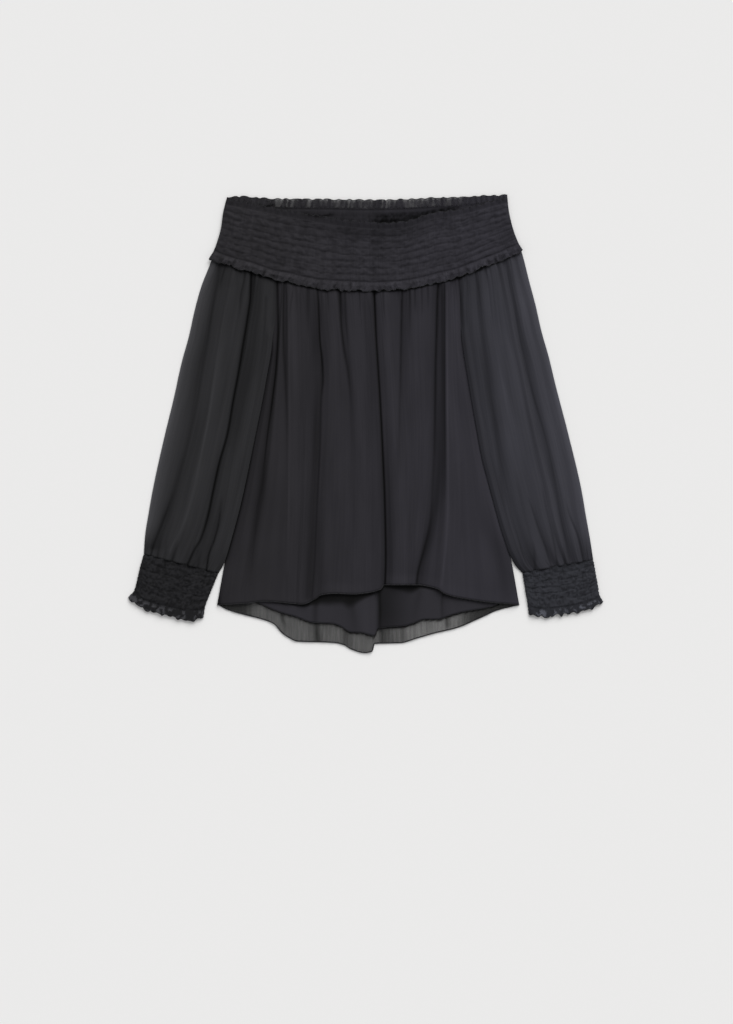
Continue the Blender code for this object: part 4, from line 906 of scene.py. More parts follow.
def noise(tree, place, **inputs):
    """Flat noise over a map, one clump a step."""
    return add_node(
        tree, "ShaderNodeTexNoise", {"noise_dimensions": "2D"}, Vector=place, Scale=1.0, **inputs
    ).outputs["Fac"]


def spread(tree, value, low, high, start=0.3, end=0.7):
    """Stretches the middle of a noise's range to run from low to high."""
    return add_node(
        tree, "ShaderNodeMapRange", Value=value, From_Min=start, From_Max=end, To_Min=low, To_Max=high
    ).outputs["Result"]


def maths(tree, operation, first, second, clamp=False):
    settings = {"operation": operation, "use_clamp": clamp}
    return add_node(tree, "ShaderNodeMath", settings, _0=first, _1=second).outputs[0]


def vertex_value(tree, name):
    """A value that sew_piece gave to each vertex."""
    return add_node(tree, "ShaderNodeAttribute", {"attribute_name": name}).outputs["Fac"]


def painted_shade(tree, tone):
    """The tone with the painted shade that each vertex holds: darker in creases, gathers and gaps, and
    lighter where a painted highlight lies.
    """
    return maths(tree, "MULTIPLY", tone, maths(tree, "SUBTRACT", 1.0, vertex_value(tree, "crease")))


def surface(tree, shader, colour, tone, height, strength, distance):
    """Gives a shader its toned colour and the bump of its yarns or fibres."""
    shade = add_node(tree, "ShaderNodeHueSaturation", Value=tone, Color=colour).outputs["Color"]
    tree.links.new(shade, shader.inputs["Base Color"])
    bump = add_node(tree, "ShaderNodeBump", Height=height, Strength=strength, Distance=distance)
    tree.links.new(bump.outputs["Normal"], shader.inputs["Normal"])


def chiffon(name, colour, far_colour, sheer_share=0.0, crinkle_depth=0.35):
    """Polyester crinkle chiffon: woven sheer and set in fine lengthways creases.

    The creases give a dry matt surface with faint long streaks. Painted shade from the pieces darkens it in
    folds, gathers and gaps, and painted highlight lightens its ridges. sheer_share is the light that its
    sheer parts let through.
    """
    material, tree, shader = base_material(name, colour, 0.85)
    shader.inputs["Specular IOR Level"].default_value = 0.08
    shader.inputs["Sheen Weight"].default_value = 0.03
    shader.inputs["Sheen Roughness"].default_value = 0.5
    # The creases are about 2.6 mm apart. They are drawn 5.2 mm apart so that they show at 1.4 mm a pixel
    fine = noise(tree, mapped(tree, 5.2, 140), Detail=3.0, Roughness=0.5, Distortion=0.2)
    patches = noise(tree, mapped(tree, 38, 120), Detail=2.0)
    tone = maths(tree, "MULTIPLY", spread(tree, fine, 0.95, 1.05), spread(tree, patches, 0.93, 1.07))
    # The cloth's cast runs from neutral grey on one side to violet-blue on the other
    where = add_node(tree, "ShaderNodeTexCoord").outputs["Object"]
    side = add_node(tree, "ShaderNodeSeparateXYZ", Vector=where).outputs["X"]
    cast = spread(tree, side, 0.0, 1.0, start=-0.14, end=0.16)
    side_colour = add_node(
        tree, "ShaderNodeMix", {"data_type": "RGBA"}, _0=cast, _6=(*colour, 1.0), _7=(*far_colour, 1.0)
    ).outputs[2]
    # Its tone takes the painted shade and painted highlight that each vertex holds
    surface(tree, shader, side_colour, painted_shade(tree, tone), fine, crinkle_depth, 0.0008)
    if sheer_share:
        through = maths(tree, "MULTIPLY", vertex_value(tree, "sheer"), spread(tree, fine, 0.93, 1.05))
        amount = maths(tree, "MULTIPLY", through, sheer_share)
        alpha = maths(tree, "SUBTRACT", 1.0, amount, clamp=True)
        tree.links.new(alpha, shader.inputs["Alpha"])
    return material


def fold_place(across, widths, narrowest=5.0):
    """A fold's number plus the share of the way to the next, with enough columns for a narrow one."""
    weights = np.maximum(widths, narrowest)
    reached = np.concatenate([[0.0], np.cumsum(weights)]) / weights.sum()
    return np.interp(across, reached, np.arange(len(reached)))


def on_lines(values, place, rounded=False):
    """The value at each place between two lines, from one row of values for each line."""
    number = np.clip(place.astype(int), 0, len(values) - 2)
    share = place - number
    points = np.arange(len(place))
    return mix(values[number, points], values[number + 1, points], smooth(share) if rounded else share)


def front_lines(y):
    """The x of each side, the line where it rolls down to its seam, and each fold of the front."""
    left = side_x("left", y)
    right = side_x("right", y)
    folds = [curve(list(zip(FRONT_FOLD_PLACES, fold[:4])), y) for fold in FRONT_FOLDS]
    left_roll = np.minimum(SIDE_ROLL, (folds[0] - left) / 2)
    right_roll = np.minimum(SIDE_ROLL, (right - folds[-1]) / 2)
    return np.array([left, left + left_roll] + folds + [right - right_roll, right])


def front_rises(y):
    """How high each of the lines of front_lines stands, in mm."""
    edge = np.full_like(y, FRONT_EDGE_RISE)
    folds = [curve(list(zip(FRONT_FOLD_PLACES, fold[4:])), y) for fold in FRONT_FOLDS]
    return np.array([edge, edge] + folds + [edge, edge])


def ruffle_shadow_depth(x):
    """Depth of the painted shadow under the band's ruffle, with small knots of cloth in it."""
    return curve(RUFFLE_SHADOW_DEPTHS, x) * (0.78 + 0.4 * lattice(x / 4.6, 0 * x, 60))


def shade_under(dark, below, shadow_depth):
    """Adds a painted shadow under an edge that stands off the cloth, from how far below it a point lies."""
    under = 1 - smooth((below - shadow_depth * 0.55) / np.maximum(shadow_depth * 0.75, 0.4))
    return darker(dark, GAP_SHADE * under * (shadow_depth > 0.3))


def lay_front(across, down):
    """Front of the body: long folds from the table, gathers below the band, crinkle, and a hem that lifts."""
    look = bpy.context.scene.blouse_look
    bust = front_lines(np.array([float(FRONT_FOLD_PLACES[1])]))[:, 0]
    place = fold_place(across, np.diff(bust))
    level = np.full_like(across, FRONT_FOLD_PLACES[0], dtype=float)
    top_x = on_lines(front_lines(level), place)
    hem_x = on_lines(front_lines(np.full_like(level, FRONT_FOLD_PLACES[3])), place)
    y = mix(seam_y(top_x), outline_y(FRONT_HEM, hem_x), down)
    x = on_lines(front_lines(y), place)
    left, right = side_x("left", y), side_x("right", y)
    from_side = np.minimum(x - left, right - x)
    from_seam = np.maximum(seam_y(x) - y, 0.0)
    from_ruffle = outline_y(RUFFLE_EDGE, x) - y
    from_hem = np.maximum(y - outline_y(FRONT_HEM, hem_x), 0.0)
    above_seam = smooth((y - UNDERARM_Y + UNDERARM_FADE) / UNDERARM_FADE)
    edge_level = mix(SIDE_SEAM_LEVEL, FRONT_LEVEL, above_seam)
    ground = mix(edge_level, FRONT_LEVEL, smooth(from_side / SIDE_ROLL))
    inside = smooth(from_side / SIDE_FADE)
    folds = on_lines(front_rises(y), place, rounded=True)
    folds *= mix(FRONT_GATHERED, look.fold_height, smooth(from_seam / FRONT_GATHER_DEPTH))
    cloth_x = on_lines(np.repeat(bust[:, None], len(across), axis=1), place) - bust[0]
    width = bust[-1] - bust[0]
    wide = gathers(cloth_x, from_seam, width, spacing=9.5, reach=38, seed=11)
    small = gathers(cloth_x, from_seam, width, spacing=5.3, reach=18, seed=12)
    z = ground + CLOTH + folds * inside
    z += look.gather_height / MM * (wide + SMALL_GATHERS * small) * inside
    z += look.crinkle_height / MM * crinkle(cloth_x, y, 13) * inside
    z += FRONT_SWELL * swell(cloth_x, y, 14) * inside * smooth(from_seam / SWELL_FADE)
    lifted = curve(track(HEM_LIFTS, "x", "lift"), hem_x)
    z += lifted * (1 - smooth(from_hem / HEM_LIFT_RUN))
    outwards = np.where(x - left < right - x, -1, 1)
    x = x + SIDE_TUCK * above_seam * (1 - smooth(from_side / SIDE_TUCK_RUN)) * outwards
    z -= SIDE_DROP * above_seam * (1 - smooth(from_side / SIDE_DROP_RUN))
    drawn = crease_depth(x, y, FRONT_CREASES)
    z -= look.crease_depth / MM * np.clip(drawn, -0.4, 1.0) * inside
    z = np.minimum(z, RUFFLE_FOOT + RUFFLE_FOOT_SLOPE * from_seam)
    # Painted shade between the gathers, in the tucks and under the ruffle, and painted light below the band
    # on the left
    dark = darker(drawn, GATHER_SHADE * bell(from_seam, 30) * (1 - wide - 0.3 * small))
    tucked = tucks(cloth_x, from_seam, width, spacing=8.0, reach=36, seed=15)
    dark = darker(dark, TUCK_SHADE * tucked * inside)
    dark = dark - SEAM_LIGHT * bell(from_seam, 55) * smooth((60 - x) / 40) * (1 - drawn)
    dark = shade_under(dark, from_ruffle, ruffle_shadow_depth(x))
    # Painted shadow of each sleeve on the front beside it, and painted light where SLEEVE_SHADE is below 0
    for side, inner, out in (("left", LEFT_SLEEVE_INNER, 1), ("right", RIGHT_SLEEVE_INNER, -1)):
        off = out * (x - curve(track(inner, "y", "x"), y))
        below = smooth((UNDERARM_Y + 6 - y) / SLEEVE_SHADE_FADE) * SLEEVE_SHADE[side]
        lower = smooth((40 - y) / 200)
        line = mix(*SLEEVE_LINE_SHARES, lower) * bell(off, mix(*SLEEVE_LINE_WIDTHS, lower))
        dark = darker(dark, below * line, WIDE_SHADE_SHARE * below * bell(off, WIDE_SHADE_REACH))
    return x, y, z, np.zeros_like(x), dark


def middle_pleat(x, rise):
    """How far the middle pleat lifts the cloth on its left side."""
    return np.where(x < PLEAT_X - 1, rise * smooth((x - PLEAT_X + PLEAT_RUN) / PLEAT_RUN), 0.0)


def lay_back(across, down):
    """Back of the body, flat on the floor, sheer and softly gathered where it shows below the lining."""
    look = bpy.context.scene.blouse_look
    top, bottom = BODY_SIDES[0], BODY_SIDES[-1]
    hem_y = outline_y(BACK_HEM, mix(bottom.left, bottom.right, across))
    y = mix(seam_y(mix(top.left, top.right, across)), hem_y, down)
    x = mix(side_x("left", y), side_x("right", y), across)
    from_side = np.minimum(x - side_x("left", y), side_x("right", y) - x)
    shows = smooth((outline_y(LINING_HEM, x) - y + 8.0) / 10.0)
    cloth_x = across * BACK_WIDTH
    inside = shows * smooth(from_side / GATHER_FADE)
    relief = 1.1 * gathers(cloth_x, np.ones_like(x), BACK_WIDTH, spacing=17.0, reach=WHOLE_WAY, seed=21)
    relief *= smooth((y - hem_y + 14) / 14)
    z = CLOTH + middle_pleat(x, 2 * PLEAT_RISE) * shows + relief * inside
    z += look.crinkle_height / MM * (1 + crinkle(cloth_x, y, 23)) * inside
    # Painted shade in the creases and painted shadow under the lining's hem, which also make the back less
    # sheer there
    dark = crease_depth(x, y, BACK_CREASES)
    sides = np.maximum(smooth((-x - 150) / 30), smooth((x - 122) / 40))
    dark = shade_under(dark, outline_y(LINING_HEM, x) - y, np.full_like(x, 2.2))
    lit = mix(0.88, 1.0, smooth((x - 10) / 50))
    return x, y, z, shows * (1 - 0.6 * np.clip(dark, 0, 1)) * (1 - 0.5 * sides) * lit, dark


def lay_lining(across, down):
    """Lining of the back, which shows between the two hems, with a pleat at the middle."""
    inset = SIDE_ROLL + 2.0
    hem_y = outline_y(LINING_HEM, mix(LINING_HEM_XS[0], LINING_HEM_XS[1], across))
    top_y = seam_y(mix(LINING_TOP_XS[0], LINING_TOP_XS[1], across)) - LINING_TOP_GAP
    y = mix(top_y, hem_y, down)
    x = mix(side_x("left", y) + inset, side_x("right", y) - inset, across)
    below = outline_y(FRONT_HEM, x) - y
    shows = smooth(below / 8.0)
    cloth_x = across * LINING_WIDTH
    ease = 0.8 * gathers(cloth_x, np.ones_like(x), LINING_WIDTH, spacing=34.0, reach=WHOLE_WAY, seed=31)
    z = LINING_TOP + (ease + 0.25 * swell(cloth_x, y, 32) + 0.25) * shows
    z += middle_pleat(x, 1.3 * LINING_PLEAT_RISE) * shows
    # Painted shade in the lining's creases and painted shadow under the front's hem
    dark = shade_under(crease_depth(x, y, LINING_CREASES), below, curve(HEM_SHADOW_DEPTHS, x))
    return x, y, z, np.zeros_like(x), dark


def shirring(across, share, rows, row_height, spacing, seed):
    """Puffs between lines of elastic thread: 0 at a thread and up to 1 between two, uneven all over."""
    place = share * rows
    uneven = 0.5 + 0.5 * crumple(across / 1.7, place * row_height, 0.75 * spacing, seed)
    held = 0.8 + 0.2 * lattice(across / 7.5, np.rint(place), seed + 3)
    return mix(0.35, 1.0, uneven) * (1 - held * (1 - arch(place - np.floor(place), 0.42)))


def flutes(across, length, spacing, seed):
    """Flutes of a ruffle's edge: uneven waves from -1 to 1."""
    draw = np.random.default_rng(seed)
    edges = cell_edges(length, spacing, 0.8, draw)
    number, through = in_cells(across, edges)
    heights = draw.uniform(0.35, 1.0, len(edges))
    return heights[number] * np.where(number % 2, 1, -1) * arch(through, 0.8)


def notches(across, length, spacing, seed):
    """Notches between the scallops of a hanging edge: up to 1 at a notch and 0 along a scallop."""
    draw = np.random.default_rng(seed)
    edges = cell_edges(length, spacing, 0.9, draw)
    number, through = in_cells(across, edges)
    depths = draw.uniform(0.2, 1.0, len(edges))
    return depths[np.where(through < 0.5, number, number + 1)] * (1 - arch(through, 0.35))


def band_share(down):
    """Shares down the band for the rows of its grid, close together over the shirring."""
    return np.interp(down, BAND_ROW_PLACES, BAND_ROW_SHARES)


def lay_band_front(across, share):
    """Front half of the band: a small heading ruffle, shirred rows, and a ruffle that hangs over the seam."""
    look = bpy.context.scene.blouse_look
    cloth_x = across * BAND_WIDTH
    x = band_x(across, share)
    y = band_y(across, share)
    from_end = np.minimum(x - band_x(0.0, share), band_x(1.0, share) - x)
    rounded = mix(BAND_EDGE_SHARE, 1.0, quarter_round(from_end / BAND_EDGE_ROUND))
    sagging = share + 0.006 * np.sin(cloth_x / 31 + share * 9) + 0.013 * lattice(cloth_x / 9, share * 11, 47)
    rows_share = np.clip((sagging - HEADING_SHARE) / (SHIRRING_SHARE - HEADING_SHARE), 0, 1)
    puffs = shirring(cloth_x, rows_share, BAND_ROWS, BAND_ROW_HEIGHT, look.cell_width / MM, seed=41)
    shirred = smooth((share - HEADING_SHARE) / 0.01) * smooth((SHIRRING_SHARE - share) / 0.01)
    ground = BAND_TOP - CLOTH + CLOTH * rounded
    relief = shirred * puffs * look.puff_height / MM * rounded
    heading = smooth((HEADING_SHARE - share) / HEADING_SHARE)
    wave = flutes(cloth_x, BAND_WIDTH, spacing=5.2, seed=42)
    top = heading * (HEADING_LIFT - BAND_TOP + 1.0 + 1.3 * wave)
    hang = np.clip((share - SHIRRING_SHARE) / (1 - SHIRRING_SHARE), 0.0, 1.0)
    fall = flutes(cloth_x + 3.0 * np.sin(cloth_x / 29), BAND_WIDTH + 6, spacing=5.4, seed=43)
    wide_fall = flutes(cloth_x, BAND_WIDTH, spacing=15.0, seed=46)
    rumple = crumple(cloth_x, hang * 14, spacing=5.0, seed=48)
    stands = smooth(hang / 0.5) * (RUFFLE_LIFT - RUFFLE_TILT - BAND_TOP) + RUFFLE_TILT * hang
    wavy = look.ruffle_wave / MM * (0.5 * fall + 0.4 * wide_fall + 0.6 * rumple) * smooth(hang / 0.6)
    z = ground + relief + top + stands + wavy
    x = x + 1.0 * hang * flutes(cloth_x, BAND_WIDTH, spacing=9.1, seed=44)
    y = y + heading * 1.2 * flutes(cloth_x, BAND_WIDTH, spacing=7.3, seed=45)
    notched = notches(cloth_x + 2.5 * hang, BAND_WIDTH + 3, spacing=19.0, seed=63)
    frilled = 0.8 * fall + 1.0 * wide_fall + 1.2 * lattice(cloth_x / 6, hang, 49) + 4.2 * notched - 0.7
    y = y + hang ** 2 * frilled
    # Painted shade between the puffs, in the ruffle's valleys and notches and in the neck and its gaps, and
    # painted highlight on the puffs, flutes and heading waves, with uneven streaks
    streaks = lattice(cloth_x / 8 + 3 * lattice(cloth_x / 17, share * 30, 61), sagging * 62, 62)
    dark = shirred * (0.64 * (1 - puffs) ** 2 - 0.15 * puffs + 0.13 * streaks)
    hangs = smooth(hang / 0.25)
    valleys = smooth((lattice(cloth_x / 2.6, hang * 1.6, 56) - 0.35) / 0.3)
    dark = dark + hangs * (0.34 * valleys - 0.24 * rumple - 0.12 * fall - 0.12 + 0.5 * notched * hang)
    dark = dark - heading * (0.18 * wave + 0.14 * crumple(cloth_x, share * 95, spacing=4.0, seed=57))
    neck = bell(x - NECK_SHADE_X, NECK_SHADE_REACH) * bell(share - NECK_SHADE_SHARE, NECK_SHADE_SHARE)
    dark = darker(dark, NECK_SHADE * neck, crease_depth(y, x, NECK_GAP_SHADOWS))
    return x, y, z, 0.25 * hang, dark


def lay_band_back(across, height):
    """Back half of the band, height mm below its top edge: a sheer ruffle, then shirring with painted shade
    in the neck.
    """
    top_y = outline_y(BACK_NECKLINE, band_x(across, 0.0))
    bottom_y = band_y(across, BAND_BACK_SHARE)
    y = top_y - np.minimum(height, top_y - bottom_y)
    x = band_x(across, np.clip((top_y - y) / (top_y - bottom_y), 0, 1) * BAND_BACK_SHARE)
    cloth_x = across * BAND_WIDTH
    heading = np.clip(1 - height / BACK_HEADING, 0.0, 1.0)
    wave = flutes(cloth_x, BAND_WIDTH, spacing=4.4, seed=51)
    wide_wave = flutes(cloth_x, BAND_WIDTH, spacing=11.0, seed=54)
    y = y + 1.1 * heading * flutes(cloth_x, BAND_WIDTH, spacing=8.1, seed=52)
    share = np.clip((height - BACK_HEADING) / (2 * BACK_ROW_STEP * BACK_ROWS), 0, 1)
    puffs = shirring(cloth_x, share, BACK_ROWS, 2 * BACK_ROW_STEP, spacing=4.0, seed=53)
    z = BAND_BACK_TOP + puffs * 0.7 + 0.9 * smooth(heading * 3) * (1 + wave)
    middle = smooth((NECK_OPEN_HALF - np.abs(x - NECK_OPEN_X)) / NECK_OPEN_FADE)
    seam_line = bell(height - BACK_HEADING, 0.9)
    highlight_line = bell(height - BACK_HEADING - 2.8, 0.8)
    inside = smooth((height - BACK_HEADING - 3.4) / 3) * middle
    specks = crumple(cloth_x, height, spacing=4.2, seed=58)
    depth = NECK_INSIDE_SHADE * mix(0.5, 1.0, smooth((x + 8) / 32))
    highlight_line *= middle * (1 - smooth((x - 30) / 45)) * mix(0.5, 1.0, smooth(specks))
    # Painted shade in the shirring and inside the neck, a painted highlight line just below the heading, and
    # painted shadow under the front's edge
    held = 0.25 * smooth((height - BACK_HEADING) / 1.5) * (1 - inside)
    dark = (0.7 * seam_line + held) * middle - 0.4 * highlight_line
    dark = dark + depth * inside * (1 - 0.3 * puffs) * (1 - 0.4 * specks)
    under = smooth((outline_y(NECKLINE, x) + 7 - y) / 3.5) * smooth((x - 4) / 14) * smooth((136 - x) / 14)
    dark = darker(dark, 0.7 * under * (1 - 0.5 * specks))
    thin = 0.66 + 0.16 * wave + 0.14 * wide_wave + 0.5 * lattice(cloth_x / 2.8, height / 13, 59)
    sheer = smooth(heading * 5) * np.clip(thin, 0.0, 1.0) * mix(0.25, 1.0, middle)
    # Painted highlight on the heading's flutes and on specks at the sides, and painted shadow in the neck's
    # gaps
    dark = dark - 0.2 * smooth(heading * 5) * wave - 0.15 * (1 - middle) * specks
    return x, y, z, sheer, darker(dark, crease_depth(y, x, NECK_GAP_SHADOWS))


def sleeve_layer(folds, outer_edge, inner_edge, creases, lit, seed):
    """The function that lays out one sleeve: across runs over its top, round its edge and back under."""
    inner_track = track(inner_edge, "y", "x")
    outer_track = track(outer_edge, "y", "x")
    inner_top, inner_end = inner_edge[0].y, inner_edge[-1].y
    outer_top, outer_end = outer_edge[0].y, outer_edge[-1].y
    underarm = (inner_top - UNDERARM_Y) / (inner_top - inner_end)
    off_body = (inner_top - SLEEVE_OFF_BODY_Y) / (inner_top - inner_end)
    elbow = np.array([0.0] + [fold.elbow for fold in folds] + [1.0])

    def slit_open(down):
        """1 along the slit at the armhole and 0 below it, where the tube is sewn closed."""
        return smooth((underarm - SLEEVE_SLIT_MARGIN - down) / SLEEVE_SLIT_FADE)

    def lift(from_body, down):
        """How far the underside rises onto the body's side."""
        leaving = 1 - smooth((down - off_body) / (1 - off_body))
        resting = smooth((from_body - HEM_MARGIN) / (SLEEVE_REST - HEM_MARGIN))
        return SLEEVE_ON_BODY * leaving * (1 - resting) * (1 - slit_open(down))

    def lay(across, down):
        look = bpy.context.scene.blouse_look
        on_top = across <= SLEEVE_TOP_SHARE
        through = np.where(on_top, across / SLEEVE_TOP_SHARE, (1 - across) / (1 - SLEEVE_TOP_SHARE))
        eased = through - 0.5 * np.sin(2 * math.pi * through) / (2 * math.pi)
        place = fold_place(eased, np.diff(elbow) * SLEEVE_WIDTH, narrowest=6.0)
        lines = [curve(list(zip(SLEEVE_FOLD_PLACES, fold[:5])), down) for fold in folds]
        shares = on_lines(np.array([np.zeros_like(down)] + lines + [np.ones_like(down)]), place)
        share = np.where(on_top, shares, eased)
        inner_y = mix(inner_top, inner_end, down)
        outer_y = mix(outer_top, outer_end, down)
        inner_x = curve(inner_track, inner_y)
        outer_x = curve(outer_track, outer_y)
        width = np.hypot(outer_x - inner_x, outer_y - inner_y)
        first_x = mix(curve(inner_track, inner_top), curve(outer_track, outer_top), share)
        bow = (seam_y(first_x) - mix(inner_top, outer_top, share)) * (1 - down) ** 2
        x = mix(inner_x, outer_x, share)
        y = mix(inner_y, outer_y, share) + bow
        from_body = share * width
        from_fold = width - from_body
        from_band = down * (inner_top - inner_end)
        from_cuff = (1 - down) * (inner_top - inner_end)
        rises = [curve(list(zip(SLEEVE_FOLD_PLACES, fold[5:])), down) for fold in folds]
        rise = on_lines(np.array([np.zeros_like(down)] + rises + [np.zeros_like(down)]), place, rounded=True)
        rise *= mix(SLEEVE_GATHERED, look.fold_height, smooth(down / SLEEVE_GATHER_SHARE))
        cloth_x = share * SLEEVE_WIDTH
        at_band = gathers(cloth_x, from_band, SLEEVE_WIDTH, spacing=8.0, reach=45, seed=seed)
        at_band += SLEEVE_SMALL_GATHERS * gathers(
            cloth_x, from_band, SLEEVE_WIDTH, spacing=4.9, reach=16, seed=seed + 1
        )
        at_cuff = gathers(cloth_x, from_cuff, SLEEVE_WIDTH, spacing=10.5, reach=46, seed=seed + 2)
        at_cuff += SLEEVE_SMALL_GATHERS * gathers(
            cloth_x, from_cuff, SLEEVE_WIDTH, spacing=5.4, reach=16, seed=seed + 3
        )
        fine = look.gather_height / MM * (at_band + lit.gathered * at_cuff)
        fine += look.crinkle_height / MM * crinkle(cloth_x * 1.1, y, seed + 4)
        settled = smooth(from_band / SWELL_FADE) * smooth(from_cuff / SLEEVE_SWELL_FADE)
        fine += SLEEVE_SWELL * swell(cloth_x * 1.6, y, seed + 5) * settled
        edges = smooth(from_fold / SLEEVE_FOLD_FADE) * smooth(from_body / SLEEVE_BODY_FADE)
        level = CLOTH + PLEAT_ROOM + lift(from_body, down)
        on_front = slit_open(down)
        level = mix(level, mix(FRONT_LEVEL, level, smooth(from_body / UNDERARM_FADE)), on_front)
        drawn = crease_depth(x, y, creases)
        rise = np.maximum(rise - look.crease_depth / MM * np.clip(drawn, -0.4, 1.0), 0.0)
        full = np.minimum(level + CLOTH + rise + fine * edges, RUFFLE_FOOT + RUFFLE_FOOT_SLOPE * from_band)
        under = lift(from_body, down)
        body_round = quarter_round(from_body / SLEEVE_BODY_ROUND)
        fold_round = quarter_round(from_fold / SLEEVE_FOLD_ROUND)
        body_middle = lift(0.0 * down, down) + CLOTH + PLEAT_ROOM / 2
        fold_middle = CLOTH + PLEAT_ROOM / 2
        near = from_body < from_fold
        middle = np.where(near, body_middle, fold_middle)
        turn = np.where(near, mix(body_round, 1.0, on_front), fold_round)
        z = np.where(on_top, mix(middle, full, turn), mix(middle, under, turn))
        sheer = 1 - smooth(from_fold / SLEEVE_SHEER_WIDTH)
        close = 0.9 * bell(from_band, 26) * (1 - at_band)
        close += min(lit.gathered, 1.0) * bell(from_cuff, 30) * (1 - at_cuff)
        top_tucks = tucks(cloth_x, from_band, SLEEVE_WIDTH, spacing=8.5, reach=34, seed=seed + 6)
        end_tucks = tucks(cloth_x, from_cuff, SLEEVE_WIDTH, spacing=9.5, reach=34, seed=seed + 7)
        # Painted shade between gathers, in tucks and under the ruffle, darker beside the body and the cuff,
        # and a painted highlight along the folded edge
        dark = darker(drawn, GATHER_SHADE * np.clip(close, 0, 1))
        dark = darker(dark, SLEEVE_TUCK_SHADE * top_tucks, SLEEVE_TUCK_SHADE * end_tucks)
        dark = shade_under(dark, outline_y(RUFFLE_EDGE, x) - y, ruffle_shadow_depth(x))
        dark = darker(dark, lit.inner * bell(from_body, 26), lit.foot * bell(from_cuff, 50))
        wide_light = lit.light * np.exp(-(from_fold / lit.reach) ** 1.3) + lit.rim * np.exp(-from_fold / 4.0)
        wide_light *= smooth(from_cuff / 50) * mix(0.7, 1.0, smooth(from_band / 30))
        return x, y, z, sheer, dark - wide_light

    return lay, underarm


def cuff_layer(lines, contrast, seam, seed):
    """The function that lays out one cuff: across runs over its top and back under, down to its ruffle."""

    def lay(across, down):
        look = bpy.context.scene.blouse_look
        on_top = across <= CUFF_TOP_SHARE
        through = np.where(on_top, across / CUFF_TOP_SHARE, (1 - across) / (1 - CUFF_TOP_SHARE))
        share = through - 0.4 * np.sin(2 * math.pi * through) / (2 * math.pi)
        left_x, left_y, right_x, right_y, bow = (
            curve(track(lines, "down", part), down) for part in CuffLine._fields[1:]
        )
        width = np.hypot(right_x - left_x, right_y - left_y)
        cloth_x = share * CUFF_WIDTH
        cloth_y = down * CUFF_LENGTH
        hang = np.clip((down - CUFF_RUFFLE_SHARE) / (1 - CUFF_RUFFLE_SHARE), 0.0, 1.0)
        fall = flutes(cloth_x, CUFF_WIDTH, spacing=5.4, seed=seed + 1)
        x = mix(left_x, right_x, share)
        y = mix(left_y, right_y, share) - bow * (1 - np.abs(2 * share - 1) ** 4)
        y = y + hang ** 2 * (1.6 * fall + 1.2 * flutes(cloth_x, CUFF_WIDTH, spacing=11.0, seed=seed + 2))
        y = y + CUFF_OVERLAP * (1 - smooth(down / 0.06)) * np.clip(3 * np.minimum(share, 1 - share), 0, 1)
        wobble = down + 0.014 * np.sin(cloth_x / 7.7 + down * 11)
        wobble += 0.022 * lattice(cloth_x / 6, cloth_y / 8, seed + 5)
        rows_share = np.clip(wobble / CUFF_RUFFLE_SHARE, 0.0, 1.0)
        puff_width = CUFF_PUFF_WIDTH * look.cell_width / MM
        puffs = shirring(cloth_x, rows_share, CUFF_ROWS, CUFF_ROW_HEIGHT, puff_width, seed)
        from_edge = np.minimum(share, 1 - share) * width
        turn = quarter_round(from_edge / CUFF_EDGE_ROUND)
        knobs = flutes(down * CUFF_SIDE_LENGTH, CUFF_SIDE_LENGTH, spacing=3.3, seed=seed + 3)
        knobs *= CUFF_KNOB_HEIGHT * (1 - smooth(from_edge / CUFF_KNOB_REACH))
        x = x + np.where(share < 0.5, -1, 1) * knobs
        relief = np.where(
            hang > 0, look.ruffle_wave / MM * (1 + fall) * hang * 0.7,
            puffs * CUFF_PUFF_HEIGHT * look.puff_height / MM,
        )
        top = CUFF_TOP + relief
        z = np.where(on_top, mix(CUFF_MIDDLE, top, turn), mix(CUFF_MIDDLE, 0.0, turn))
        maze = crumple(cloth_x / 1.3, cloth_y, spacing=2.4, seed=seed + 6)
        specks = smooth((crumple(cloth_x, cloth_y, spacing=4.6, seed=seed + 7) + 0.1) / 0.7)
        sheer = 0.85 * smooth(hang / 0.4) * specks
        # Painted shade between puffs and in a crumpled maze, painted light on the sheer ruffle's specks, and
        # a painted shadow along the top seam
        shirred = 0.22 * (1 - puffs) ** 2 - 0.06 * puffs
        shirred += contrast * (0.36 * smooth((maze - 0.1) / 0.3) - 0.14 * smooth(-maze / 0.6))
        hung = 0.2 - 3.4 * contrast * specks ** 2 * smooth(hang / 0.5)
        dark = mix(shirred, hung, smooth(hang / 0.1))
        shown = smooth((share - seam[0]) / 0.06) * smooth((seam[1] - share) / 0.06)
        broken = mix(0.6, 1.0, smooth(lattice(cloth_x / 9, 0.0, seed + 8)))
        top_seam_shadow = bell(cloth_y, CUFF_SEAM_SHADOW_WIDTH) * shown * broken
        return x, y, z, sheer, darker(dark, 0.85 * top_seam_shadow)

    return lay


def path_of(lay, down, count, sink, start=0.0, end=1.0):
    """Points along a line across a piece, sunk so many mm below the cloth's outer face."""
    across = np.linspace(start, end, count)
    x, y, z, _, _ = lay(across, np.full_like(across, down))
    return np.stack([x, y, z - sink], axis=1)


def back_share(down):
    """Shares down the back for the rows of its grid, close together where it shows."""
    return np.interp(down, (0.0, 0.3, 1.0), (0.0, 0.8, 1.0))


def back_height(down):
    """Heights below the back band's top edge for the rows of its grid, in mm."""
    return np.interp(down, (0.0, 0.3, 0.9, 1.0), (0.0, BACK_HEADING, 55.0, 125.0))


